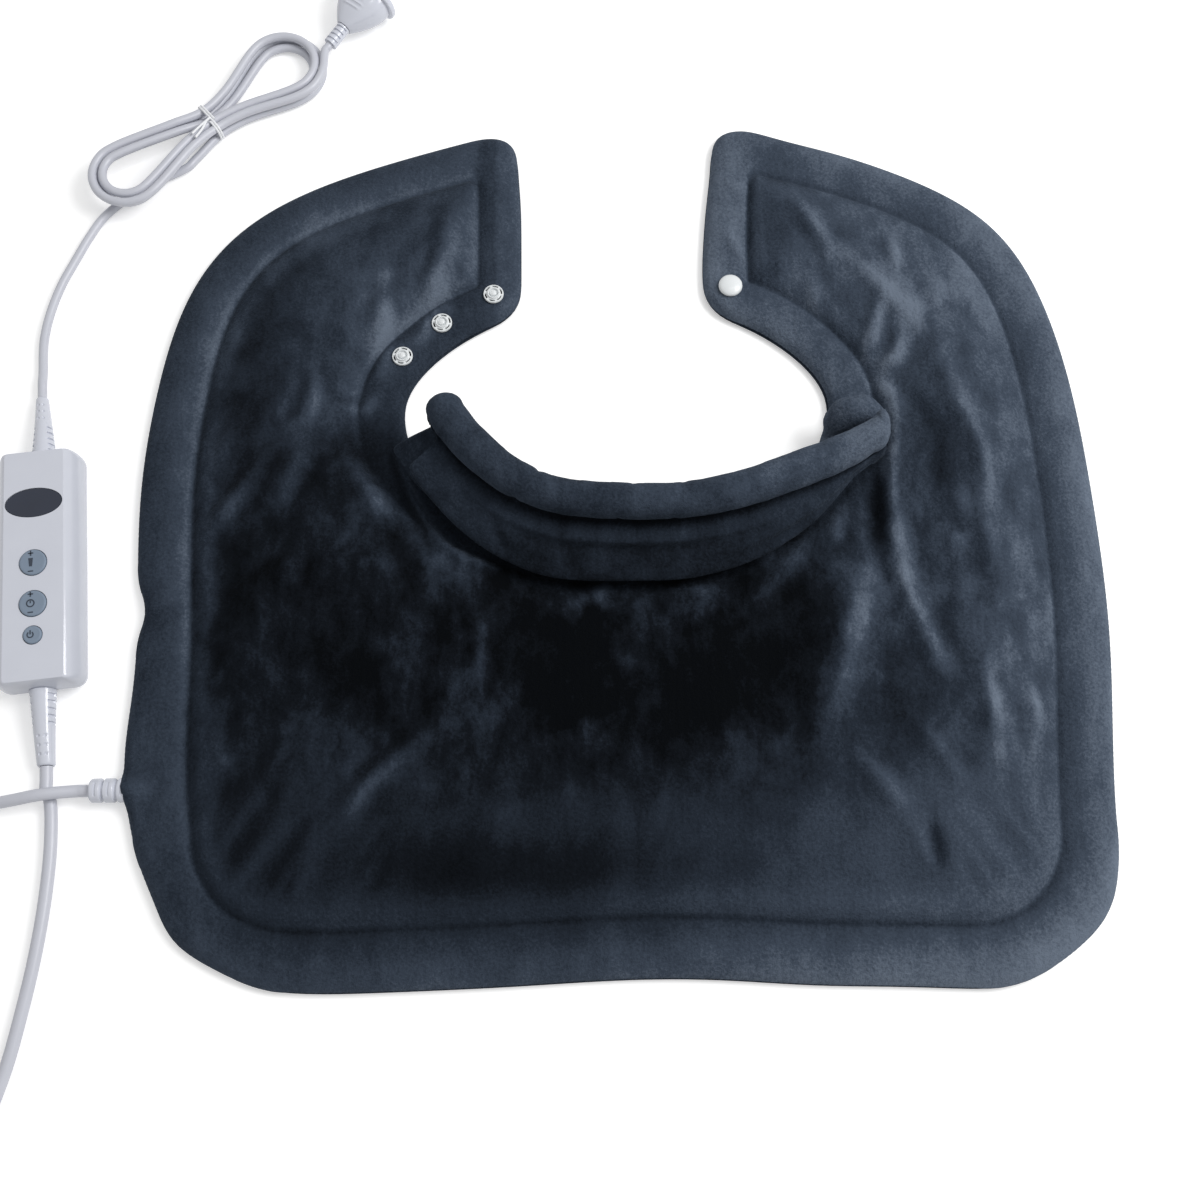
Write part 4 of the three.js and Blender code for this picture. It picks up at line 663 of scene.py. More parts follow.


# %% [markdown]
# ## Folds and brushed pile
# The slack plush keeps the folds of being packed: long soft ridges down the right side, darts that run out
# from under the collar, and short puckers along the sewn line. Each fold is a listed line with a height, a
# width and the strength of its painted light: a painted highlight along a crest, and painted shade along a
# trough where the value is negative. Patches are where the pile was stroked flat.

# %% Fold lines, from the pad's middle in mm: points, height, width, painted light
RIGHT_FOLDS = [
    ([(155, 219), (162, 213), (163, 192), (159, 161), (157, 135), (157, 106), (163, 77), (170, 59),
      (177, 39)], 5.5, 6.5, 0.48),
    ([(142, 120), (130, 73), (122, 37), (110, 11)], 2.5, 19, 0.24),
    ([(146, 122), (136, 92), (128, 64), (121, 30)], 1.5, 7, 0.1),
    ([(196, 150), (196, 125)], 2, 6, 0.14),
    ([(190, 122), (193, 108)], 2, 7, 0.16),
    ([(193, 94), (188, 68)], 2, 6, 0.14),
    ([(201, 39), (203, 9), (202, -22)], 3, 6, 0.2),
    ([(224, 30), (228, 16), (221, -12)], 2.5, 6, 0.18),
    ([(159, 8), (170, -4), (181, -23)], 3, 6, 0.2),
    ([(124, -3), (138, -21), (148, -40)], 3, 8, 0.2),
    ([(163, -45), (165, -57), (167, -70)], -3, 5, -0.26),
    ([(111, 122), (99, 108), (80, 86), (68, 76)], 3.5, 7, 0.32),
    ([(58, 94), (37, 80), (19, 66)], 2, 10, 0.36),
    ([(125, 135), (124, 118)], 3, 5, 0.26),
    ([(114, 351), (120, 335), (130, 316), (133, 295)], 3, 5.5, 0.22),
    ([(140, 310), (156, 290), (172, 274), (183, 259), (185, 244)], 4, 9, 0.28),
    ([(171, 315), (173, 294)], 2.5, 5.5, 0.18),
    ([(162, 276), (155, 252), (149, 233)], 3.5, 5, 0.2),
    ([(195, 283), (197, 258), (195, 233), (202, 209), (209, 185), (212, 157), (211, 134), (211, 104)],
     4.5, 7, 0.26),
    ([(171, 263), (168, 238), (158, 225)], 3.5, 5, 0.2),
    ([(120, 290), (124, 268)], 2, 5, 0.12),
    ([(71, 364), (85, 358)], 1.6, 4, 0.1),
    ([(71, 328), (80, 309)], 1.6, 4, 0.1),
    ([(183, 205), (185, 170), (178, 130)], -2.5, 8, -0.2),
    ([(150, 160), (148, 130), (140, 105)], -2.5, 7, -0.22),
    ([(100, 75), (85, 50), (78, 25)], -1.5, 14, -0.12),
]
LEFT_FOLDS = [
    ([(-101, 343), (-104, 313), (-111, 291), (-113, 275)], 3, 8, 0.16),
    ([(-102, 294), (-110, 271), (-121, 254), (-131, 249)], 3, 7, 0.18),
    ([(-143, 295), (-140, 266), (-141, 246), (-142, 224)], 3.5, 8, 0.18),
    ([(-181, 232), (-180, 217), (-184, 201), (-191, 192)], 3, 6, 0.16),
    ([(-191, 191), (-187, 175), (-193, 158), (-195, 140)], 3.5, 8, 0.26),
    ([(-161, 176), (-151, 162), (-143, 150), (-134, 139)], 4, 6.5, 0.3),
    ([(-205, 175), (-218, 156), (-230, 141), (-240, 127)], 3.5, 6, 0.24),
    ([(-169, 208), (-153, 208), (-145, 217)], 3, 5, 0.14),
    ([(-229, 193), (-234, 172)], 2, 6, 0.14),
    ([(-193, 113), (-187, 94)], 2.5, 7, 0.24),
    ([(-108, 112), (-108, 79)], 2, 8, 0.18),
    ([(-83, 78), (-81, 53), (-83, 35)], 3, 7, 0.24),
    ([(-121, 54), (-126, 37)], 2, 9, 0.14),
    ([(-110, 8), (-129, -9), (-144, -24), (-149, -32)], 3, 6, 0.22),
    ([(-42, 77), (-19, 86), (10, 94)], 1.5, 9, 0.32),
    ([(-20, 15), (-27, 6)], 1.5, 8, 0.18),
    ([(-76, 21), (-74, 7)], 1.5, 7, 0.14),
    ([(-239, 68), (-222, 48), (-203, 30), (-186, 16)], -1.6, 3, -0.12),
    ([(-231, 74), (-213, 55), (-196, 39)], 1.2, 6, 0.06),
    ([(-224, 10), (-218, -9)], 1.5, 6, 0.14),
]
BORDER_FOLDS = [
    ([(-272, 79), (-258, 84), (-243, 90)], -2.5, 4, -0.08),
    ([(-268, 57), (-271, 31), (-274, 8), (-273, -20), (-267, -40), (-258, -60)], -1.8, 2.4, -0.14),
    ([(-290, -18), (-276, -18), (-266, -18)], 5, 8, 0.06),
]
COLLAR_WELT = [([(-131, 196), (-127, 167), (-116, 141), (-100, 119), (-74, 106), (-43, 97)], 6, 3.6, 0.1)]
FOLDS = RIGHT_FOLDS + LEFT_FOLDS + BORDER_FOLDS + COLLAR_WELT

# Brushed patches: middle, half sizes, how much paler or darker
PATCHES = [
    ((15, 50), (95, 65), -0.56), ((-100, 60), (70, 80), -0.18), ((-190, 70), (70, 70), -0.2),
    ((-60, -68), (90, 22), -0.32), ((80, 40), (45, 60), -0.12), ((-150, 300), (90, 70), 0.18),
    ((180, 300), (90, 60), 0.2), ((170, -60), (90, 40), 0.11), ((-150, 165), (40, 50), -0.1),
    ((145, 150), (22, 40), -0.12), ((-170, -40), (80, 45), -0.02), ((60, -72), (60, 24), -0.05),
    ((195, 40), (60, 90), 0.03), ((75, -5), (45, 34), -0.13),
]


def fold_effect(points, folds):
    rise = np.zeros(len(points))
    shine = np.zeros(len(points))
    for line, height, width, bright in folds:
        path = np.array([tuple(at) for at in smooth_route([(*at, 0) for at in line], 10)])[:, :2]
        along = np.linspace(0, 1, len(path))
        away = np.linalg.norm(points[:, None] - path[None], axis=2)
        nearest = away.argmin(1)
        ends = np.sin(np.pi * np.clip(along[nearest] * 0.92 + 0.04, 0, 1)) ** 0.6
        close = np.exp(-(away.min(1) / width) ** 2)
        trough = np.exp(-(away.min(1) / (2.2 * width)) ** 2)
        rise += height * ends * (1.25 * close - 0.25 * trough)
        # A positive value paints a highlight along the crest, a negative one paints shade along the trough.
        shine += bright * ends * np.exp(-(away.min(1) / (0.75 * width)) ** 2)
    return rise, shine


def patch_effect(points):
    nap = np.zeros(len(points))
    for middle, size, amount in PATCHES:
        nap += amount * np.exp(-(((points - middle) / size) ** 2).sum(1))
    return nap


# %% [markdown]
# ## Quilted top
# The top is sewn to the back along its edge, and again 27 mm inside it at the neck and 31.5 mm along the
# outer edge. The filling pushes it up between those lines, and at the left the edge is lifted over the end
# of the connector. The height formula sets that shape, and cloth simulation then blows the closed sheet up
# a little against the sewn lines, which gives small strained puckers that the formula lacks. The movement
# is capped, so the pad keeps its size.

# %% Height of the quilted top
COVER_FLOOR = 4.4
BORDER_PUFF = 6.4
BORDER_ROUNDING = 11
SEAM_DIP = 2.0
SEAM_HALF_WIDTH = 1.6
CROWN_RISE = 6.4
CROWN_RUN = 26
FILLING_TOP = 14.4
WAVE = 70
WAVE_HEIGHT = 1.2
RIPPLE = 22
RIPPLE_HEIGHT = 0.9
SHEET_SPACING = 3.2
STUD_BED = 11.5
INLET_HEIGHT = 15.2
STUD_BED_RADIUS = 8
STUD_NODES = ("snap_socket_1", "snap_socket_2", "snap_socket_3", "snap_cap")
STUD_BOXES = [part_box(node) for node in STUD_NODES]
STUD_PLACES = [tuple((low[axis] + high[axis]) / 2 / MM for axis in (0, 1)) for low, high in STUD_BOXES]


def shaped_noise(points, size, seed):
    return np.array([noise.noise((x / size, y / size, seed)) for x, y in points])


def padded_height(depth):
    edge = np.sqrt(1 - (1 - np.clip(depth / BORDER_ROUNDING, 0, 1)) ** 2)
    panel = np.clip((depth - NECK_BORDER) / CROWN_RUN, 0, 1)
    dip = np.exp(-((depth - NECK_BORDER) / SEAM_HALF_WIDTH) ** 2)
    return COVER_FLOOR + BORDER_PUFF * edge + CROWN_RISE * (1 - (1 - panel) ** 2.5) - SEAM_DIP * dip, dip


def by_collar(points):
    beside = 1 - np.clip((line_distance(points, even_steps(NECK_EDGE, 6)) - 34) / 10, 0, 1)
    return beside / (1 + np.exp((points[:, 1] - 203) / 6))


def quilted_height(points, depth):
    height, dip = padded_height(depth)
    hidden = by_collar(points)
    height += SEAM_DIP * dip * hidden
    loose = np.clip(depth / 12, 0, 1) * (1 - dip * (1 - hidden))
    rise, shine = fold_effect(points, FOLDS)
    waves = WAVE_HEIGHT * shaped_noise(points, WAVE, 3.1) + RIPPLE_HEIGHT * shaped_noise(points, RIPPLE, 7.7)
    calm = np.where(depth < NECK_BORDER, 0.35, 1 - 0.6 * np.clip((points[:, 0] - 60) / 80, 0, 1))
    return above_filling(height + loose * (rise + waves * calm), depth), shine


def over_connector(points, height):
    away = points - (connector_end.x + CONNECTOR_LENGTH, connector_end.y)
    bump = INLET_HEIGHT * np.exp(-(np.maximum(away[:, 0], 0) / 12) ** 2 - (away[:, 1] / 11) ** 2)
    return np.logaddexp(height, bump)


def above_filling(height, depth):
    return np.maximum(height, np.minimum(padded_height(depth)[0], FILLING_TOP))


def under_studs(points, height):
    for place in STUD_PLACES:
        away = np.hypot(*(points - place).T)
        height = np.minimum(height, STUD_BED + 0.7 * np.maximum(0, away - STUD_BED_RADIUS))
    return height


# %% [markdown]
# ## Nap and painted light of the top
# The nap value says how pale the pile looks at each point. It is painted, since the pile itself is too fine
# to model, and it also carries painted light. The border is a paler band, with a painted gradient across it
# that is mostly paler at the outer edge and darker at the sewn line. The panel has its brushed patches, with
# a painted highlight on each fold crest and painted shade in each trough. A thin painted line follows the
# sewn line, paler on the left and painted shade in the groove on the right and along the lower edge, and
# beside it the panel's rim gets a painted highlight, stronger where the slope faces away from the lamp and
# lies in real shade. Slopes that face right and towards the lower edge get painted light and the others
# painted shade, so part of this shading is fixed in the cloth and does not follow the lamps.

# %% Nap of the quilted top
# Painted light and shade on slopes: those facing LIGHT_SIDE are painted paler and the others darker.
LIGHT_SIDE = (0.8, -0.35)
SLOPE_PAINTED_LIGHT = 0.5
RIGHT_TIP = (70, 335)
CRUSH_MIDDLE = (-30, 60)
CRUSH_REACH = (190, 140)


def quilted_nap(points, depth, shine, slopes):
    hidden = by_collar(points)
    border = (1 - hidden) / (1 + np.exp((depth - NECK_BORDER) / 0.8))
    side = points[:, 0] / PAD_HALF
    left, right = np.clip(-side, 0, 1), np.clip(side, 0, 1)
    low = 1 / (1 + np.exp((points[:, 1] + 62) / 10))
    high = 1 / (1 + np.exp((60 - points[:, 1]) / 25))
    panel = 0.5 + 0.14 * side + patch_effect(points)
    tip = np.exp(-(((points - RIGHT_TIP) / (26, 70)) ** 2).sum(1))
    edge_band = 0.71 + 0.09 * side + 0.02 * high + 0.13 * tip + 0.1 * low * right
    # Painted light across the border: mostly paler at the outer edge and darker at the sewn line.
    outward = (0.08 + 0.06 * low) * (1 - 1.8 * np.clip(2 * left, 0, 1) * high)
    edge_band += outward * (1 - 2 * np.clip(depth / NECK_BORDER, 0, 1))
    edge_band -= low * (0.075 * np.clip(1 - 2 * right, 0, 1) + 0.03 * np.exp(-(side / 0.3) ** 2))
    from_neck = line_distance(points, even_steps(NECK_EDGE, 6))
    edge_band -= 0.19 * np.clip(2 * left, 0, 1) * (from_neck < NECK_BORDER + 1) * (points[:, 0] < -72)
    # A thin line painted on the sewn line: paler on the left, painted shade in the groove on the right and along
    # the lower edge.
    at_seam = np.exp(-((depth - NECK_BORDER) / 1.1) ** 2) * (1 - hidden)
    seam_light_and_shade = 0.2 * left * (1 - low) - 0.16 * np.clip(right + low, 0, 1)
    # Painted highlight on the panel's rim beside the sewn line, stronger where the slope faces away from the lamp
    # and lies in real shade.
    above_seam = np.exp(-((depth - NECK_BORDER - 8) / 8) ** 2) * (1 - hidden)
    away = np.clip(-(slopes @ LIGHT_SIDE) / 0.3, 0, 1) * np.clip(4 * side, 0, 1)
    seam_rim_highlight = 0.12 * low + (1 - low) * (0.18 * left + 0.08 * right + 0.14 * away)
    # Painted light on slopes facing the light side and painted shade on the others, damped beside the sewn line.
    painted_slope_light = np.clip(slopes @ LIGHT_SIDE, -0.6, 0.6) * np.clip((depth - 6) / 8, 0.15, 1)
    near_seam = np.exp(-((depth - NECK_BORDER - 6) / 9) ** 2)
    painted_slope_light = painted_slope_light * (1 - np.where(painted_slope_light < 0, 0.85, 0.45) * near_seam)
    # Painted highlights and shade of the fold crests and troughs, together with the painted slope light.
    folds = (shine + SLOPE_PAINTED_LIGHT * painted_slope_light) * (1 - 0.3 * right)
    return border * edge_band + (1 - border) * panel + folds + at_seam * seam_light_and_shade + above_seam * seam_rim_highlight


# %% Blow up a closed sheet between its sewn lines
PRESSURE = 4
SLACK = -0.02
LARGEST_MOVE = 4.5
LAST_FRAME = 20


def blown_up(points, faces, sewn, slack):
    work = mesh_piece("cloth_work", points, [tuple(face) for face in faces])
    held = work.vertex_groups.new(name="sewn")
    held.add([int(i) for i in np.nonzero(sewn)[0]], 1.0, "REPLACE")
    loose = work.vertex_groups.new(name="slack")
    for i, share in enumerate(slack):
        loose.add([i], float(share), "REPLACE")
    cloth = work.modifiers.new("cloth", "CLOTH")
    cloth.settings.vertex_group_mass = "sewn"
    cloth.settings.use_pressure = True
    cloth.settings.uniform_pressure_force = PRESSURE
    cloth.settings.vertex_group_shrink = "slack"
    cloth.settings.shrink_min = 0
    cloth.settings.shrink_max = SLACK
    cloth.settings.mass = 0.2
    cloth.settings.bending_stiffness = 1.0
    cloth.settings.effector_weights.gravity = 0
    cloth.collision_settings.use_collision = False
    for step in range(1, LAST_FRAME + 1):
        scene.frame_set(step)
    shape = work.evaluated_get(bpy.context.evaluated_depsgraph_get()).to_mesh()
    moved = np.array([tuple(vertex.co / MM) for vertex in shape.vertices]) - points
    far = np.linalg.norm(moved, axis=1)
    bpy.data.objects.remove(work)
    scene.frame_set(1)
    print(f"cloth moved {far.max():.1f} mm at most, {far.mean():.1f} mm on average")
    return points + moved * np.minimum(1, LARGEST_MOVE / np.maximum(far, 1e-6))[:, None]


# %% Make the quilted top
def closed_below(points, faces, rim_count, floor):
    rim = delaunay_2d_cdt(
        [Vector(point[:2]) for point in points[:rim_count]],
        [(i, (i + 1) % rim_count) for i in range(rim_count)], [], 1, 1e-6,
    )
    below = points[:rim_count] * (1, 1, 0) + (0, 0, floor)
    shift = len(points)
    sides = [(i, shift + i, shift + (i + 1) % rim_count, (i + 1) % rim_count) for i in range(rim_count)]
    under = [tuple(shift + rim[3][i][0] for i in face) for face in rim[2]]
    flat = np.array([tuple(point) for point in rim[0]])
    facing_down = []
    for face, source in zip(under, rim[2]):
        a, b, c = (flat[i] for i in source)
        upward = (b - a)[0] * (c - a)[1] - (b - a)[1] * (c - a)[0] > 0
        facing_down.append(face[::-1] if upward else face)
    return np.vstack([points, below]), [tuple(face) for face in faces] + sides + facing_down


def paint(piece, name, values):
    layer = piece.data.attributes.new(name, "FLOAT", "POINT")
    layer.data.foreach_set("value", np.asarray(values, np.float32))


def corner_normals(piece):
    return np.array([tuple(normal.vector) for normal in piece.data.vertex_normals])


flat_points, sheet_faces, sheet_depth, rim_count = even_sheet(SHEET_SPACING)
sheet_points = pulled(flat_points)
top_height, top_shine = quilted_height(sheet_points, sheet_depth)
top_height = over_connector(sheet_points, under_studs(sheet_points, top_height))
top_points, top_faces = closed_below(
    np.column_stack([sheet_points, top_height]), sheet_faces, rim_count, COVER_FLOOR - 0.1,
)
on_seam = np.abs(sheet_depth - NECK_BORDER) < 0.5
sewn = np.concatenate([on_seam | (sheet_depth < 0.5), np.ones(rim_count, bool)])
slack = np.where(sheet_depth < NECK_BORDER, 0.1, 1 - 0.7 * np.clip((sheet_points[:, 0] - 60) / 80, 0, 1))
top_points = blown_up(top_points, top_faces, sewn, np.concatenate([slack, np.zeros(rim_count)]))
sheet_height = top_points[:-rim_count, 2]
top_points[:-rim_count, 2] = under_studs(sheet_points, above_filling(sheet_height, sheet_depth))
pad_top = mesh_piece("quilted_top", top_points, top_faces)
slopes = corner_normals(pad_top)[:-rim_count, :2]
top_nap = quilted_nap(sheet_points, sheet_depth, top_shine, slopes)
middle_away = ((sheet_points - CRUSH_MIDDLE) / CRUSH_REACH) ** 2
mussed = 0.3 + 0.7 / (1 + np.exp((-18 - sheet_points[:, 1]) / 9))
top_crush = np.where(sheet_depth < NECK_BORDER, 0.3, (0.5 + 0.95 * np.exp(-middle_away.sum(1))) * mussed)
paint(pad_top, "nap", np.concatenate([top_nap, np.full(rim_count, 0.5)]))
paint(pad_top, "crush", np.concatenate([top_crush, np.full(rim_count, 0.3)]))
softer = pad_top.modifiers.new("finer", "SUBSURF")
softer.levels = softer.render_levels = 1
dress(pad_top, plush, "pad")
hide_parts("top_cover")
print(f"quilted top: {len(top_points)} points, {len(top_faces)} faces")

# %% [markdown]
# ## Back cover
# The back is the same plush, lying flat on the table, sewn through along the same line. Its edge is rolled,
# so it is a thin slab with a rounded rim and a shallow groove under the sewn line.

# %% Back cover
BACK_TOP = 4.1
BACK_SPACING = 9
BACK_ROLL = 3.2
BACK_GROOVE = 1.1
back_flat, back_faces, back_depth, back_rim = even_sheet(BACK_SPACING)
back_flat = pulled(back_flat)
roll = 1 - np.sqrt(1 - (1 - np.clip(back_depth / BACK_ROLL, 0, 1)) ** 2)
groove = np.exp(-((back_depth - NECK_BORDER) / 3) ** 2)
under = np.column_stack([back_flat, 0.1 + 2.0 * roll + BACK_GROOVE * groove])
over = np.column_stack([back_flat, BACK_TOP - 1.4 * roll])
count = len(back_flat)
back_points = np.vstack([over, under])
rim_walls = [(i, count + i, count + (i + 1) % back_rim, (i + 1) % back_rim) for i in range(back_rim)]
back_shell = [tuple(face) for face in back_faces] + rim_walls
back_shell += [tuple(count + i for i in face[::-1]) for face in back_faces]
pad_back = mesh_piece("back_panel", back_points, back_shell)
paint(pad_back, "nap", np.full(2 * count, 0.55))
paint(pad_back, "crush", np.full(2 * count, 0.4))
softer = pad_back.modifiers.new("finer", "SUBSURF")
softer.levels = softer.render_levels = 1
dress(pad_back, plush, "pad")
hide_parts("back_cover")
print("back panel:", len(back_points), "points")

# %% [markdown]
# ## Collar
# The collar stands on the neck edge, rolls over and hangs down outside as a flap. It is one skin over
# sections that are carried along three guide lines: the neck edge where its foot is sewn, the middle of
# the roll, and the hem of the flap. Each section is a smooth closed curve, so roll, crease and flap are one
# fabric, as on the real one.

# %% Guide lines of the collar
ROLL_RADIUS = 11
ROLL_LEVEL = 46.8
FOOT_LEVEL = 11.9
FOOT_WIDTH = 8
FLAP_THICKNESS = 5
FLAP_BELLY = 2.6
LEFT_ROUNDING = 8
RIGHT_ROUNDING = 6
STAND_STARTS = (0.03, 0.065)
FLAP_STARTS = (0.06, 0.09)
FLAP_LAG = 0.075
STAND_ENDS = (0.958, 0.996)
COLLAR_STATIONS = 200
SECTION_POINTS = 150
ROLL_LINE = [
    (-101, 199), (-97, 187), (-80, 165), (-60, 148), (-36, 137), (0, 132.5), (35, 132.5), (68, 138.5),
    (100, 149.5), (122, 158), (140, 167), (154, 177.5),
]
HEM_LINE = [
    (-121, 166, 31), (-117, 157, 29), (-104, 140, 25), (-80, 117, 22.5), (-43, 98, 22), (11, 94, 22),
    (45, 96, 22), (80, 107, 22.5), (110, 126, 25), (125, 141, 28), (135, 152, 31), (145, 162, 32),
    (155, 170, 32),
]
ROLL_NIPS = [(0.26, 0.1, 0.007), (0.454, 0.05, 0.006), (0.555, 0.05, 0.006)]
ROLL_SLIT = (0.74, 0.97, 72, 1.3)


def rail(points, count):
    line = np.array([tuple(at) for at in smooth_route([(*at, 0)[:3] for at in points], 12)])
    share = even_steps(line, 0.5)
    at = np.linspace(0, len(share) - 1, count)
    return np.column_stack([np.interp(at, np.arange(len(share)), share[:, axis]) for axis in range(3)])


neck_line = np.vstack([mirrored(neck_half()[:60]), neck_half()[1:60]])
foot_rail = rail(neck_line[::4], COLLAR_STATIONS)
roll_rail = rail(ROLL_LINE, COLLAR_STATIONS)
hem_rail = rail(HEM_LINE, COLLAR_STATIONS)
roll_length = route_length([Vector(at) for at in roll_rail])


def closed_curve(points, count):
    points = [Vector(point) for point in points]
    around = smooth_route([*points[-2:], *points, *points[:3]], 8)[16:-16]
    line = even_steps(np.array([tuple(at) for at in around]), 0.4)
    at = np.linspace(0, len(line) - 1, count + 1)[:-1]
    return np.column_stack([np.interp(at, np.arange(len(line)), line[:, axis]) for axis in range(3)])


# %% One section of the collar
def roll_radius(share):
    from_end = min(share * roll_length / LEFT_ROUNDING, (1 - share) * roll_length / RIGHT_ROUNDING)
    fullness = math.sqrt(max(0.02, 1 - (1 - min(1, from_end)) ** 2))
    wobble = 1 + 0.05 * noise.noise((share * 9, 0.3, 1.7)) + 0.03 * noise.noise((share * 31, 2.2, 0.4))
    for at, depth, width in ROLL_NIPS:
        wobble -= depth * math.exp(-((share - at) / width) ** 2)
    return ROLL_RADIUS * fullness * wobble, fullness


def flap_ridge(share, part):
    middle = math.exp(-((share - 0.5) / 0.24) ** 2)
    across = 2.8 * math.exp(-((part - 0.36) / 0.1) ** 2) - 2.0 * math.exp(-((part - 0.5) / 0.08) ** 2)
    tuck = math.exp(-((share - 0.19 - 0.12 * part) / 0.012) ** 2) * smooth_share(part, 0.35, 0.7)
    low_edge = math.exp(-((share - 0.76) / 0.09) ** 2) * math.exp(-((part - 0.84) / 0.06) ** 2)
    return middle * across - 2.4 * tuck - 2.2 * low_edge


def collar_section(station):
    share = station / (COLLAR_STATIONS - 1)
    hem_at = round(max(0, (share - FLAP_LAG) / (1 - FLAP_LAG)) * (COLLAR_STATIONS - 1))
    foot, roll_at, hem = Vector(foot_rail[station]), Vector(roll_rail[station]), Vector(hem_rail[hem_at])
    radius, fullness = roll_radius(share)
    hanging = smooth_share(share, *FLAP_STARTS)
    thickness = FLAP_THICKNESS * (0.4 + 0.6 * fullness) * (0.4 + 0.6 * hanging)
    axis = Vector((roll_at.x, roll_at.y, 0))
    heading = Vector(roll_rail[min(station + 3, COLLAR_STATIONS - 1)] - roll_rail[max(station - 3, 0)])
    across = Vector((heading.y, -heading.x, 0)).normalized()
    outward = Vector((hem.x, hem.y, 0)) - axis
    reach = radius * 0.95 + (max(outward.length, radius + 1.5) - radius * 0.95) * hanging
    outward = across.lerp(outward.normalized(), hanging).normalized()
    hem.z = ROLL_LEVEL - radius * 0.8 + (hem.z - ROLL_LEVEL + radius * 0.8) * hanging
    up = Vector((0, 0, 1))

    def at(out, z):
        return axis + outward * out + up * z

    to_foot = Vector((foot.x, foot.y, 0)) - axis
    foot_out = to_foot.dot(outward)
    sideways = to_foot - outward * foot_out
    over_roll = [
        at(radius * math.cos(angle), ROLL_LEVEL + radius * math.sin(angle))
        for angle in np.radians([195, 165, 130, 95, 60, 25, -8])
    ]
    crease = at(radius * 0.7, ROLL_LEVEL - radius * 0.78)
    top_hem = at(reach - 0.5, hem.z + 0.75 * thickness)
    fall = up + outward * 0.6
    flap = []
    for part in (0.12, 0.24, 0.36, 0.48, 0.6, 0.72, 0.84):
        belly = FLAP_BELLY * math.sin(part * math.pi) * fullness
        flap.append(crease.lerp(top_hem, part) + fall * (belly + flap_ridge(share, part)))
    tip = at(reach + 1.0, hem.z + 0.35 * thickness)
    below = at(reach - 1.8, hem.z - 0.1 * thickness)
    inner = [
        at(reach * 0.72, hem.z + 0.28 * (crease.z - hem.z) - 0.55 * thickness),
        at(reach * 0.4 + 1, hem.z + 0.58 * (crease.z - hem.z) - 0.5 * thickness),
        at(radius * 0.25, ROLL_LEVEL - radius - 2.5),
    ]
    stand = smooth_share(share, *STAND_STARTS) * (1 - smooth_share(share, *STAND_ENDS))
    tucked_up = at(0, ROLL_LEVEL - radius - 2.2)
    foot_outer = tucked_up.lerp(at(foot_out + 3 + FOOT_WIDTH * fullness, FOOT_LEVEL) + sideways, stand)
    sewn_inside = at(foot_out + 3, FOOT_LEVEL) + sideways
    foot_inner = at(-radius * 0.4, ROLL_LEVEL - radius - 1.6).lerp(sewn_inside, stand)
    middle_out = foot_outer.lerp(at(radius * 0.1, ROLL_LEVEL - radius - 2), 0.55)
    middle_in = foot_inner.lerp(at(-radius, ROLL_LEVEL - 2), 0.5)
    outside = [foot_inner, middle_in, *over_roll, crease, *flap, top_hem, tip]
    underneath = [below, *inner, middle_out, foot_outer]
    ring = closed_curve([*outside, *underneath], SECTION_POINTS)
    return slit_roll(ring, share, at(0, ROLL_LEVEL), outward), collar_nap(ring, crease, top_hem, share)


def slit_roll(ring, share, middle, outward):
    start, end, angle, depth = ROLL_SLIT
    open_here = smooth_share(share, start, start + 0.03) * (1 - smooth_share(share, end - 0.03, end))
    away = ring - np.array(middle)
    turn = np.degrees(np.arctan2(away[:, 2], away @ np.array(outward)))
    cut = depth * open_here * np.exp(-((turn - angle) / 6) ** 2) * (away[:, 2] > 0)
    return ring - away / np.maximum(np.linalg.norm(away, axis=1), 1e-6)[:, None] * cut[:, None]


def collar_nap(ring, crease, top_hem, share):
    on_roll = 1 / (1 + np.exp(-(ring[:, 2] - 41) / 1.5))
    # Painted shade in the crease under the roll.
    crease_shade = np.exp(-(np.linalg.norm(ring - np.array(crease), axis=1) / 5) ** 2)
    lower = np.clip((34 - ring[:, 2]) / 12, 0, 1)
    side = ring[:, 0] / NECK_HALF
    flap = 0.31 + 0.22 * np.abs(side) - 0.1 * lower - 0.02 * side
    middle = math.exp(-((share - 0.5) / 0.24) ** 2)
    # Painted highlight along the flap's ridge, with painted shade just below it.
    for part, tone in ((0.34, 0.16), (0.5, -0.1)):
        line = np.array(crease.lerp(top_hem, part))
        flap += tone * middle * np.exp(-(np.linalg.norm(ring - line, axis=1) / 4.5) ** 2)
    return flap * (1 - on_roll) + (0.53 + 0.2 * np.abs(side) + 0.035 * side) * on_roll - 0.22 * crease_shade


# %% Make the collar
sections = [collar_section(station) for station in range(COLLAR_STATIONS)]
collar_points, collar_faces = skin([ring for ring, _ in sections])
collar = mesh_piece("turned_down_collar", collar_points, collar_faces)
paint(collar, "nap", np.concatenate([nap for _, nap in sections]))
paint(collar, "crush", np.full(len(collar_points), 0.5))
dress(collar, plush, "pad")
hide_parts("collar")
print("collar:", len(collar_points), "points")

# %% [markdown]
# ## Twisted end of the collar
# At the right the collar's end is twisted under and bunches up behind the roll as a soft knob. It is a
# short fat sweep whose rings swell and shrink, with a little noise so that it does not look turned. Its
# root lies along the neck edge, where it fills the gap under the foot of the collar's wall.

# %% Bunched end
KNOB_LINE = [
    (114, 161, 10), (125, 175, 13), (128, 184, 16), (131, 190, 26), (138, 192, 31), (146, 190, 31),
    (153, 185, 28), (157, 180, 24),
]
KNOB_RADII = [5.5, 7, 7, 7.5, 10.3, 10.3, 7.5, 3]
KNOB_RINGS = 40
KNOB_SIDES = 48


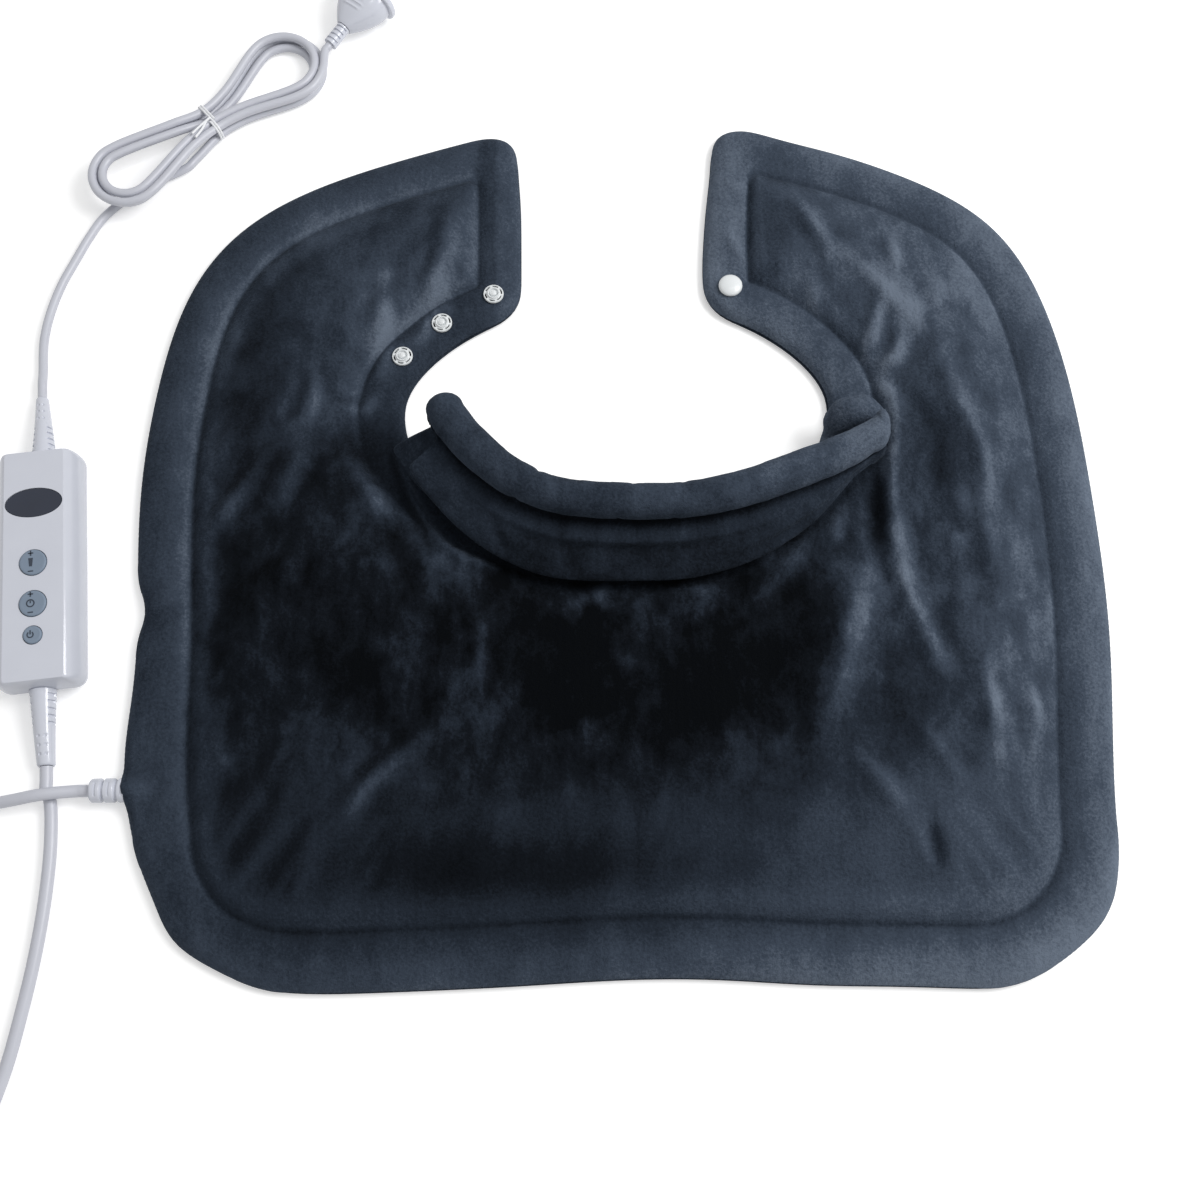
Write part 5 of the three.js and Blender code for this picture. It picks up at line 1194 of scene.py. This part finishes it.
def knob_rings():
    route = rail(KNOB_LINE, KNOB_RINGS)
    radii = np.interp(np.linspace(0, 1, KNOB_RINGS), np.linspace(0, 1, len(KNOB_RADII)), KNOB_RADII)
    headings = np.gradient(route, axis=0)
    rings = []
    for place, heading, radius in zip(route, headings, radii):
        across = Vector(heading).cross(Vector((0, 0, 1))).normalized()
        over = across.cross(Vector(heading)).normalized()
        ring = []
        for i in range(KNOB_SIDES):
            angle = 2 * math.pi * i / KNOB_SIDES
            out = across * math.cos(angle) + over * math.sin(angle)
            bunch = 1 + 0.16 * noise.noise((Vector(place) + out * 9) / 11)
            ring.append(Vector(place) + out * radius * bunch)
        rings.append(ring)
    return rings


knob_points, knob_faces = skin(knob_rings())
knob = mesh_piece("bunched_collar_end", knob_points, knob_faces)
paint(knob, "nap", np.full(len(knob_points), 0.78))
paint(knob, "crush", np.full(len(knob_points), 0.4))
dress(knob, plush, "pad")
print("bunched end:", len(knob_points), "points")

# %% [markdown]
# ## White and grey plastics
# The housing, boots and plug are moulded ABS and PVC: smooth, slightly glossy, with a fine grain from the
# mould. Each finish has its colour, a faint cloudiness and a shallow bump at the size of its grain.

# %% Moulded finishes
CLOUDINESS = 18


def moulded(name, colour, shadow, roughness, ior, grain_mm, grain_depth, coat=0.0):
    material = bpy.data.materials.new(name)
    material.use_nodes = True
    tree = material.node_tree
    shade = tree.nodes["Principled BSDF"]
    place = add_node(tree, "TexCoord").outputs["Object"]
    cloud = add_node(tree, "TexNoise", {"Vector": place, "Scale": pattern_scale(CLOUDINESS),
                                        "Detail": 3.0}).outputs["Fac"]
    grain = add_node(tree, "TexNoise", {"Vector": place, "Scale": pattern_scale(grain_mm),
                                        "Detail": 2.0}).outputs["Fac"]
    mix = add_node(tree, "Mix", {"Factor": cloud, "A": linear(shadow), "B": linear(colour)}, data_type="RGBA")
    tree.links.new(mix.outputs["Result"], shade.inputs["Base Color"])
    gloss = add_node(tree, "MapRange", {"Value": grain, "To Min": roughness - 0.05,
                                        "To Max": roughness + 0.05})
    tree.links.new(gloss.outputs["Result"], shade.inputs["Roughness"])
    bump = add_node(tree, "Bump", {"Height": grain, "Strength": 0.35, "Distance": grain_depth * MM})
    tree.links.new(bump.outputs["Normal"], shade.inputs["Normal"])
    shade.inputs["IOR"].default_value = ior
    shade.inputs["Coat Weight"].default_value = coat
    return material


# Polished ABS: a tight highlight along the shoulder of the housing, with a fine moulded grain.
white_abs = moulded("moulded_white_abs", "#ced1db", "#c7cad4", 0.15, 1.53, 0.7, 0.012)
# Soft PVC: a wider, duller highlight along the cord.
cord_pvc = moulded("extruded_white_pvc", "#c5c7d0", "#bdbfc8", 0.36, 1.52, 0.9, 0.03)
# Silicone rubber keys: matt grey blue, with a soft rim of light.
key_rubber = moulded("moulded_grey_silicone", "#7f8d9e", "#768495", 0.5, 1.41, 0.5, 0.02)
# Printing ink on the keys: flat and dark.
key_ink = moulded("printed_key_ink", "#2c3644", "#27303d", 0.6, 1.5, 0.4, 0.01)
# Smoked acrylic: nearly black blue, polished.
smoked_acrylic = moulded("polished_smoked_acrylic", "#1a2439", "#131b2c", 0.1, 1.49, 2.0, 0.004)
# Acetal press studs: milky white, with a waxy shine.
white_acetal = moulded("moulded_white_acetal", "#e4e7e8", "#d4d8da", 0.26, 1.48, 0.6, 0.02)
# PVC skin of the tie: bright white.
tie_skin = moulded("extruded_tie_pvc", "#f0f1f3", "#e4e6ea", 0.35, 1.52, 0.6, 0.02)
for cord, slot_name in ((heater_lead, "cord_plastic"), (mains_lead, "cord_plastic")):
    dress(cord, cord_pvc, "pad")
print("plastics ready")

# %% [markdown]
# ## Press studs
# Three sockets on the left arm and one cap on the right. A socket is a ring with six slots for its thread,
# an inner ring and a sprung dome in the middle. A polar grid with a height for each ring and slot gives
# all of that from one formula.

# %% Press studs
STUD_TOP_AT = 11.7
SLOT_COUNT = 6
SLOT_SHARE = 0.62
STUD_SIDES = 72
SOCKET_RINGS = [
    (6.2, 0.0), (6.2, 0.9), (5.95, 1.25), (5.45, 1.3), (5.4, 1.3), (5.35, 1.3), (4.5, 1.3), (4.45, 1.3),
    (4.4, 1.35), (3.9, 1.5), (3.75, 2.1), (3.5, 2.35), (3.1, 2.3), (2.85, 2.0), (2.75, 1.2), (2.1, 1.05),
    (2.0, 1.6), (1.75, 2.1), (1.2, 2.45), (0.6, 2.58), (0.05, 2.6),
]
SLOT_RINGS = {5: 0.1, 6: 0.1}
CAP_PROFILE = [
    (7.3, 0.0), (7.3, 0.7), (7.1, 1.2), (6.6, 1.75), (5.6, 2.3), (4.0, 2.8), (2.0, 3.1), (0.05, 3.18),
]


def stud_place(node):
    low, high = (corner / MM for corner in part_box(node))
    return Matrix.Translation(((low.x + high.x) / 2, (low.y + high.y) / 2, STUD_TOP_AT))


def socket_rings():
    rings = []
    for at, (radius, height) in enumerate(SOCKET_RINGS):
        ring = []
        for i in range(STUD_SIDES):
            in_slot = (i / STUD_SIDES * SLOT_COUNT) % 1 < SLOT_SHARE
            z = SLOT_RINGS[at] if at in SLOT_RINGS and in_slot else height
            angle = 2 * math.pi * i / STUD_SIDES
            ring.append((radius * math.cos(angle), radius * math.sin(angle), z))
        rings.append(ring)
    return rings


for number in (1, 2, 3):
    socket_points, socket_faces = skin(socket_rings())
    node = f"snap_socket_{number}"
    socket_points = placed(stud_place(node), socket_points)
    socket = mesh_piece(f"press_stud_socket_{number}", socket_points, socket_faces, 35)
    dress(socket, white_acetal, "pad")
    # The socket's foot and slot floors take the plush without its nap, so they render nearly black: the fabric
    # showing through, darkened as painted shade in the slots.
    socket.data.materials.append(plush)
    for face in socket.data.polygons:
        if max(socket.data.vertices[v].co.z for v in face.vertices) < (STUD_TOP_AT + 0.3) * MM:
            face.material_index = 1
    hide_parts(node)
cap = turned_piece("press_stud_cap", CAP_PROFILE, STUD_SIDES, stud_place("snap_cap"))
dress(cap, white_acetal, "pad")
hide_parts("snap_cap")
print("press studs: 3 sockets, 1 cap")

# %% [markdown]
# ## Controller housing
# The top half is a shell with a flat face, sides that curve in towards it, an oval window and three round
# key holes. The face is cut out of a flat triangulation with its holes, and rings carry its edge down the
# curved side to the parting line, outside and inside, so that the shell has its real wall.

# %% Top shell of the controller
HOUSING_WIDTH = 49
HOUSING_LENGTH = 142
HOUSING_HEIGHT = 26
HOUSING_CORNER = 7
PARTING = 10.15
SIDE_DRAW = 7.3
END_DRAW = 2
WALL = 2.4
SHOULDER = math.radians(60)
EDGE_FILLET = 0.3
CORNER_STEPS = 10
SIDE_STEPS = 12
WINDOW_AT = 36.8
WINDOW_SIZE = (32.4, 17.6)
WINDOW_RECESS = 1.4
KEYS = {"temperature_key": (0, 7.6), "timer_key": (-24.5, 7.6), "power_key": (-43, 5.2)}
KEY_GAP = 0.4


def housing_ring(side_inset, end_inset, z):
    half_width = HOUSING_WIDTH / 2 - side_inset
    half_length = HOUSING_LENGTH / 2 - end_inset
    corner = max(2, HOUSING_CORNER - side_inset)
    ring = []
    for quarter, (sign_x, sign_y) in enumerate(((1, 1), (-1, 1), (-1, -1), (1, -1))):
        for step in range(CORNER_STEPS + 1):
            angle = (quarter + step / CORNER_STEPS) * math.pi / 2
            ring.append((sign_x * (half_width - corner) + corner * math.cos(angle),
                         sign_y * (half_length - corner) + corner * math.sin(angle), z))
    return ring


def housing_side(start, end, wall):
    rings = []
    for step in range(SIDE_STEPS + 1):
        angle = SHOULDER * step / SIDE_STEPS
        draw = (1 - math.cos(angle)) / (1 - math.cos(SHOULDER))
        rise = math.sin(angle) / math.sin(SHOULDER)
        level = start + (end - start) * rise
        rings.append(housing_ring(wall + SIDE_DRAW * draw, wall + END_DRAW * draw, level))
    return rings


def oval_ring(size, y, z, sides=64):
    angles = [2 * math.pi * i / sides for i in range(sides)]
    return [(size[0] / 2 * math.cos(angle), y + size[1] / 2 * math.sin(angle), z) for angle in angles]


def holed_face(rim, holes):
    loops = [rim, *holes]
    points = [Vector(point[:2]) for loop in loops for point in loop]
    loop_of = [number for number, loop in enumerate(loops) for _ in loop]
    edges, start = [], 0
    for loop in loops:
        edges += [(start + i, start + (i + 1) % len(loop)) for i in range(len(loop))]
        start += len(loop)
    found = delaunay_2d_cdt(points, edges, [], 1, 1e-6)
    origin = [source[0] for source in found[3]]
    faces = [tuple(origin[i] for i in face) for face in found[2]]
    in_hole = [len({loop_of[i] for i in face}) == 1 and loop_of[face[0]] > 0 for face in faces]
    return [face for face, hidden in zip(faces, in_hole) if not hidden]


def key_holes(z):
    return [oval_ring((2 * (radius + KEY_GAP),) * 2, y, z) for y, radius in KEYS.values()]


def window_recess(z):
    return oval_ring((WINDOW_SIZE[0] + 0.5, WINDOW_SIZE[1] + 0.5), WINDOW_AT, z)


def top_shell():
    outside = housing_side(PARTING, HOUSING_HEIGHT - EDGE_FILLET * 0.4, 0)
    outside.append(housing_ring(SIDE_DRAW + EDGE_FILLET, END_DRAW + EDGE_FILLET, HOUSING_HEIGHT))
    roof = HOUSING_HEIGHT - WALL
    inside = housing_side(PARTING, roof, WALL)
    points, faces = skin([*inside[::-1], *outside], closed_ends=False)
    rim = len(outside[0])
    last = len(points) - rim
    holes_above, holes_below = key_holes(HOUSING_HEIGHT), key_holes(roof)
    recess, recess_floor = window_recess(HOUSING_HEIGHT), window_recess(HOUSING_HEIGHT - WINDOW_RECESS)
    above = len(points)
    points += [point for loop in (*holes_above, recess) for point in loop]
    below = len(points)
    points += [point for loop in (*holes_below, recess_floor) for point in loop]
    for face in holed_face(outside[-1], [*holes_above, recess]):
        faces.append(tuple(last + i if i < rim else above + i - rim for i in face))
    for face in holed_face(inside[-1], holes_below):
        faces.append(tuple(i if i < rim else below + i - rim for i in face)[::-1])
    size = len(recess)
    for hole in range(len(holes_above) + 1):
        for i in range(size):
            a, b = hole * size + i, hole * size + (i + 1) % size
            faces.append((above + a, below + a, below + b, above + b))
    faces.append(tuple(below + len(holes_below) * size + i for i in range(size)))
    return points, faces


shell_points, shell_faces = top_shell()
housing_top = mesh_piece("controller_top", placed(controller, shell_points), shell_faces, 28)
for face in housing_top.data.polygons:
    face.use_smooth = abs(face.normal.z) < 0.9999
dress(housing_top, white_abs, "pad")
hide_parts("controller_top_shell")
print("controller top:", len(shell_points), "points")

# %% [markdown]
# ## Window and keys
# The window is a smoked oval, a hair below the face. The keys are low grey domes with a rounded rim. Their
# signs are printed: plus and minus, a bar for the heat, a clock for the timer and the power sign. Each
# sign is a thin raised print, so that it is there in the mesh too, and rides on its key.

# %% Window and key domes
WINDOW_TOP = 25.85
WINDOW_PROFILE = [(1.0, 24.9), (1.0, 25.6), (0.985, WINDOW_TOP), (0.6, WINDOW_TOP), (0.02, WINDOW_TOP)]
KEY_CREST = 27
KEY_BASE = 22.4
window_points, window_faces = skin([
    oval_ring((WINDOW_SIZE[0] * share, WINDOW_SIZE[1] * share), WINDOW_AT, z) for share, z in WINDOW_PROFILE
])
window = mesh_piece("smoked_window", placed(controller, window_points), window_faces, 35)
dress(window, smoked_acrylic, "pad")
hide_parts("display_window")


def key_profile(radius):
    return [
        (radius + 1.2, KEY_BASE - 0.4), (radius + 1.2, KEY_BASE), (radius, KEY_BASE),
        (radius, KEY_CREST - 0.75), (radius - 0.12, KEY_CREST - 0.4), (radius - 0.45, KEY_CREST - 0.12),
        (radius - 0.95, KEY_CREST), (radius * 0.78, KEY_CREST - 0.02), (radius * 0.5, KEY_CREST - 0.08),
        (0.03, KEY_CREST - 0.1),
    ]


key_nodes = {
    "temperature_key": "temperature_rocker", "timer_key": "timer_rocker", "power_key": "power_button",
}
for body, (y, radius) in KEYS.items():
    place = controller @ Matrix.Translation((0, y, 0))
    key = turned_piece(f"{body}_dome", key_profile(radius), 64, place)
    dress(key, key_rubber, body)
    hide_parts(key_nodes[body])
print("window and", len(KEYS), "keys")

# %% Printed signs
PRINT_LOW = KEY_CREST - 0.12
PRINT_HIGH = KEY_CREST + 0.04
SIGN_SHIFT = -1.0


def strip(x0, y0, x1, y1, top_width=None):
    top_width = x1 - x0 if top_width is None else top_width
    middle = (x0 + x1) / 2
    return [(x0, y0), (x1, y0), (middle + top_width / 2, y1), (middle - top_width / 2, y1)]


def bow(radius, width, start, end, count=36):
    angles = np.radians(np.linspace(start, end, count))
    outer = [(radius * math.cos(a), radius * math.sin(a)) for a in angles]
    inner = [((radius - width) * math.cos(a), (radius - width) * math.sin(a)) for a in angles]
    return outer + inner[::-1]


def moved(outline, x, y):
    return [(px + x, py + y) for px, py in outline]


plus = [strip(-1.5, -0.38, 1.5, 0.38), strip(-0.38, -1.5, 0.38, 1.5)]
minus = [strip(-1.5, -0.38, 1.5, 0.38)]
clock = [bow(2.4, 0.7, 0, 360), strip(-0.35, 0, 0.35, 1.5)]
power = [bow(2.0, 0.7, 125, 415), strip(-0.36, 0.2, 0.36, 2.6)]
heat_bar = [strip(-0.8, -2.5, 0.8, 2.5, top_width=2.5)]
up_down = [moved(sign, 0, 5.4) for sign in plus] + [moved(sign, 0, -5.4) for sign in minus]
signs = {"temperature_key": heat_bar + up_down, "timer_key": clock + up_down, "power_key": power}
for body, outlines in signs.items():
    points, faces = [], []
    for outline in outlines:
        base, size = len(points), len(outline)
        for z in (PRINT_LOW, PRINT_HIGH):
            points += [(x + SIGN_SHIFT, y + KEYS[body][0], z) for x, y in outline]
        faces.append(tuple(base + size + i for i in range(size)))
        faces.append(tuple(base + i for i in range(size))[::-1])
        faces += [(base + i, base + (i + 1) % size, base + size + (i + 1) % size, base + size + i)
                  for i in range(size)]
    sign = mesh_piece(f"{body}_signs", placed(controller, points), faces, 30)
    dress(sign, key_ink, body)
print("signs printed on", len(signs), "keys")

# %% [markdown]
# ## Strain reliefs
# A strain relief is a soft tapered boot that lets the cord bend gently where it enters a housing. Near the
# housing it has short slots on both sides, and towards the tip two rows of dimples. A fine grid of rings
# and angles carries them: each point's radius is the taper less the depth of any slot or dimple there.

# %% Boots on the controller
BOOT_RADII = {1: (7.2, 3.6), -1: (7.5, 4.9)}
BOOT_SIDES = 64
BOOT_STEP = 0.35
SLOT_PITCH = 4.0
SLOT_WIDTH = 1.3
SLOT_DEPTH = 1.0
SLOT_FIRST = 3.2
BOOT_SLOTS = 5
DIMPLE_ROWS = [26, 31, 36]
DIMPLE_ANGLES = [68, 108]
DIMPLE_RADIUS = 0.95


def boot_radius(side, along, angle):
    base, tip = BOOT_RADII[side]
    radius = base + (tip - base) * (along / BOOT_LENGTH) ** 0.8
    radius -= 0.5 * max(0, (along - BOOT_LENGTH + 1) / 1) ** 2
    on_side = 5 < angle < 48 or 132 < angle < 175 or 185 < angle < 228 or 312 < angle < 355
    for slot in range(BOOT_SLOTS):
        if on_side and abs(along - SLOT_FIRST - slot * SLOT_PITCH) < SLOT_WIDTH / 2:
            radius -= SLOT_DEPTH
    for row in DIMPLE_ROWS:
        for column in DIMPLE_ANGLES:
            away = math.hypot(along - row, math.radians(angle - column) * radius)
            radius -= 0.9 * max(0, 1 - (away / DIMPLE_RADIUS) ** 2)
    return radius


def boot_rings(side):
    rings = [round_boot_ring(side, -2.5, lambda angle: 4.5)]
    steps = round(BOOT_LENGTH / BOOT_STEP)
    for step in range(steps + 1):
        along = BOOT_LENGTH * step / steps
        rings.append(round_boot_ring(side, along, lambda angle: boot_radius(side, along, angle)))
    rings.append(round_boot_ring(side, BOOT_LENGTH, lambda angle: 1.0))
    return rings


def round_boot_ring(side, along, radius_at):
    bend = max(0, along / BOOT_LENGTH) ** 1.5
    drop, lean = BOOT_DROP * bend, BOOT_LEAN[side] * bend
    ring = []
    for i in range(BOOT_SIDES):
        angle = 360 * i / BOOT_SIDES
        radius = radius_at(angle)
        ring.append((
            lean + radius * math.cos(math.radians(angle)),
            side * (BOOT_BASE_AT + along),
            BOOT_AXIS - drop + radius * math.sin(math.radians(angle)),
        ))
    return ring if side < 0 else ring[::-1]


for name, side in (("strain_relief_mains", 1), ("strain_relief_heater", -1)):
    points, faces = skin(boot_rings(side))
    boot = mesh_piece(f"{name}_boot", placed(controller, points), faces, 40)
    dress(boot, white_abs, "pad")
    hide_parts(name)
print("two boots")

# %% [markdown]
# ## Connector at the pad
# The heater lead ends in a moulded connector of three fat rings, with a flat slot on top of each ring and
# round notches between them, plugged into the pad's edge.

# %% Ribbed connector
CONNECTOR_SIDES = 56
CONNECTOR_STEP = 0.35
RING_PITCH = 7.4


def connector_radius(along, angle):
    radius = CONNECTOR_DIAMETER / 2
    waist = abs((along / RING_PITCH) % 1 - 0.0)
    waist = min(waist, 1 - waist) * RING_PITCH
    if along > 1.5:
        radius -= 1.7 * max(0, 1 - waist / 1.3)
    radius -= 1.6 * max(0, 1 - along / 1.6) ** 2
    in_ring = (along / RING_PITCH) % 1 * RING_PITCH
    if 60 < angle < 125 and abs(in_ring - 3.7) < 0.5:
        radius -= 0.6
    notch = math.hypot(waist, math.radians(angle - 305) * radius)
    if along > 3:
        radius -= 1.4 * max(0, 1 - (notch / 1.9) ** 2)
    return radius


def connector_rings():
    steps = round(CONNECTOR_LENGTH / CONNECTOR_STEP)
    rings = [[(connector_end.x, connector_end.y + math.cos(a), connector_end.z + math.sin(a))
              for a in np.radians(np.arange(CONNECTOR_SIDES) * 360 / CONNECTOR_SIDES)]]
    for step in range(steps + 1):
        along = CONNECTOR_LENGTH * step / steps
        ring = []
        for i in range(CONNECTOR_SIDES):
            angle = 360 * i / CONNECTOR_SIDES
            radius = connector_radius(along, angle)
            ring.append((connector_end.x + along, connector_end.y + radius * math.cos(math.radians(angle)),
                         connector_end.z + radius * math.sin(math.radians(angle))))
        rings.append(ring)
    return rings


points, faces = skin(connector_rings())
connector = mesh_piece("ribbed_connector", points, faces, 40)
dress(connector, white_abs, "pad")
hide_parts("pad_connector")
print("connector:", len(points), "points")

# %% [markdown]
# ## Plug
# The mains plug is a moulded bell with a flange round its face and a ribbed boot behind. Three plain grip
# ribs stand on its top. The flat blades stay as they are in the frame and only get their metal.

# %% Plug and its boot
PLUG_BOOT_LENGTH = 15
PLUG_BOOT_RADIUS = 4.5
PLUG_LENGTH = 26
PLUG_SIZE = (35, 24)
PLUG_LIP = 2.5
PLUG_SIDES = 64
PLUG_ROUNDNESS = 0.75
GRIP_RIBS = (0.46, 0.58, 0.70)


def plug_ring(x, width, height):
    ring = []
    for i in range(PLUG_SIDES):
        angle = 2 * math.pi * i / PLUG_SIDES
        across = (math.cos(angle), math.sin(angle))
        y, z = (math.copysign(abs(value) ** PLUG_ROUNDNESS, value) for value in across)
        ring.append((x, width / 2 * y, height / 2 * z))
    return ring


def plug_body_rings():
    rings = []
    for share in np.linspace(0, 1, 41):
        swell = math.sin(share * math.pi / 2) ** 0.9
        width, height = (
            2 * PLUG_BOOT_RADIUS + 1 + (size - 2 * PLUG_BOOT_RADIUS - 1) * swell for size in PLUG_SIZE
        )
        ring = plug_ring(PLUG_BOOT_LENGTH + share * PLUG_LENGTH, width, height)
        proud = max(max(0, 1 - (abs(share - rib) / 0.03) ** 2) for rib in GRIP_RIBS)
        rings.append([(x, y, z + 0.7 * proud if z > 0 and abs(y) < 6 else z) for x, y, z in ring])
    face = PLUG_BOOT_LENGTH + PLUG_LENGTH
    for x, grow in ((0, 1.6), (0.4, 2.3), (1.0, PLUG_LIP), (3.0, PLUG_LIP), (3.7, 2.2), (4.0, 1.4)):
        rings.append(plug_ring(face + x, PLUG_SIZE[0] + 2 * grow, PLUG_SIZE[1] + 2 * grow))
    return rings


def plug_boot_rings():
    rings = []
    pitch = PLUG_BOOT_LENGTH / 4.5
    for along in np.linspace(0.3, PLUG_BOOT_LENGTH - 0.3, 90):
        ring = []
        in_rib = (along / pitch) % 1
        for i in range(PLUG_SIDES):
            angle = 2 * math.pi * i / PLUG_SIDES
            gap = in_rib > 0.62 and math.cos(2 * angle) < 0.75
            radius = PLUG_BOOT_RADIUS - (1.0 if gap else 0.0)
            ring.append((along, radius * math.cos(angle), radius * math.sin(angle)))
        rings.append(ring)
    return rings


points, faces = skin(plug_body_rings())
plug_bell = mesh_piece("plug_bell", placed(plug, points), faces, 40)
dress(plug_bell, white_abs, "pad")
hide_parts("plug_body")
points, faces = skin(plug_boot_rings())
plug_boot = mesh_piece("plug_boot", placed(plug, points), faces, 40)
dress(plug_boot, white_abs, "pad")
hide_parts("plug_strain_relief")
print("plug and boot")

# %% [markdown]
# ## Tie
# The hank is held by a thin wire in a white skin, wound twice round the waist and twisted, with its two
# ends lying along the cord. It is one curve for the turns and one for each end.

# %% Twist tie
TIE_RADIUS = 0.75
TIE_HALF = (12.0, 6.8)
TIE_MIDDLE = (-1.4, 7.9)
TIE_TURNS = 2
TIE_TAIL = 17


def tie_turns():
    route = []
    for step in range(TIE_TURNS * 32 + 1):
        angle = math.radians(100) + 2 * math.pi * step / 32
        squared = [math.copysign(abs(value) ** 0.6, value) for value in (math.cos(angle), math.sin(angle))]
        lean = -1.6 + 3.2 * step / (TIE_TURNS * 32) + 0.8 * math.cos(angle)
        y, z = (middle + half * part for middle, half, part in zip(TIE_MIDDLE, TIE_HALF, squared))
        route.append(hank @ Vector((lean, y, z)))
    return route


def tie_end(turn, lift):
    points = [(0, -3.5, 15.2), (-3, -4.2, 16), (-10, -6 - turn, 17 + lift)]
    points.append((-TIE_TAIL, -8 - 1.4 * turn, 18.4 + lift))
    return smooth_route([hank @ Vector(point) for point in points])


tie_parts = [("tie_turns", tie_turns()), ("tie_end_1", tie_end(0, 0.6)), ("tie_end_2", tie_end(2.2, 0))]
for name, route in tie_parts:
    part = cord_piece(name, route, 2 * TIE_RADIUS)
    dress(part, tie_skin, "pad")
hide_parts("twist_tie")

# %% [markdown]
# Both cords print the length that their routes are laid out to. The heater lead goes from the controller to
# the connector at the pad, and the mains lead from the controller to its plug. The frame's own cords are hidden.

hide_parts("heater_lead")
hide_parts("mains_cord", "mains_hank", "mains_tail")

# %% [markdown]
# ## Finishes of the frame's own pieces
# The pieces that stay as they are in the frame get their real finishes: the felt and filling, the board
# and what it carries, the screws and the blades.

# %% Finishes by slot
DRAWN_LINE = 0.5


def drawn_metal(name, colour, roughness):
    material = bpy.data.materials.new(name)
    material.use_nodes = True
    tree = material.node_tree
    shade = tree.nodes["Principled BSDF"]
    place = add_node(tree, "TexCoord").outputs["Object"]
    along = add_node(tree, "Mapping", {"Vector": place, "Scale": (1.0, 0.06, 1.0)}).outputs["Vector"]
    lines = add_node(tree, "TexNoise", {"Vector": along, "Scale": pattern_scale(DRAWN_LINE),
                                        "Detail": 3.0}).outputs["Fac"]
    gloss = add_node(tree, "MapRange", {"Value": lines, "To Min": roughness - 0.08,
                                        "To Max": roughness + 0.08})
    tree.links.new(gloss.outputs["Result"], shade.inputs["Roughness"])
    shade.inputs["Base Color"].default_value = linear(colour)
    shade.inputs["Metallic"].default_value = 1.0
    return material


by_slot = {
    "plush": plush,
    # Needled polyester felt: matt and fibrous.
    "felt": moulded("needled_polyester_felt", "#dcd9d0", "#c8c4ba", 0.9, 1.5, 1.2, 0.4),
    "housing_plastic": white_abs,
    "window_plastic": smoked_acrylic,
    "key_plastic": key_rubber,
    "cord_plastic": cord_pvc,
    "stud_plastic": white_acetal,
    "tie_plastic": tie_skin,
    # Nickel plated brass and steel: drawn, with fine lines along the part.
    "steel": drawn_metal("nickel_plated_steel", "#c3c6cb", 0.28),
    # Glass epoxy board under green lacquer.
    "board": moulded("glass_epoxy_board", "#2f6b45", "#275a3a", 0.4, 1.52, 1.0, 0.03),
    # Black epoxy moulding of chips and switches.
    "dark_plastic": moulded("black_epoxy_moulding", "#26282d", "#1d1f23", 0.5, 1.55, 0.5, 0.03),
    # Dipped epoxy on the film capacitor.
    "capacitor_plastic": moulded("dipped_yellow_epoxy", "#c9a23a", "#b58f2c", 0.45, 1.55, 1.5, 0.05),
    # Fuse glass, seen as a pale tube with its caps.
    "fuse_glass": moulded("drawn_fuse_glass", "#d9dde0", "#c6ccd1", 0.12, 1.5, 2.0, 0.01),
    # PVC insulation of the inner wires.
    "wire_coating": moulded("extruded_wire_pvc", "#b03a2e", "#9c3026", 0.5, 1.52, 0.6, 0.02),
}
slot_of = {part["node"]: part["material_slot"] for part in frame["record"]["subparts"]}
for name, node in nodes.items():
    node.data.materials.clear()
    node.data.materials.append(by_slot[slot_of[name]])
print(len(nodes), "frame pieces finished")

# %% [markdown]
# ## Size
# Fabric may stand a little proud of the frame, but the object keeps its size. Both boxes are written down
# so that they can be compared.

# %% Sizes and finish
boxes = {"cad": cad_box, "visual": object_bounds()}
for name, box in boxes.items():
    print(name, [[round(value * 1000, 1) for value in corner] for corner in box])
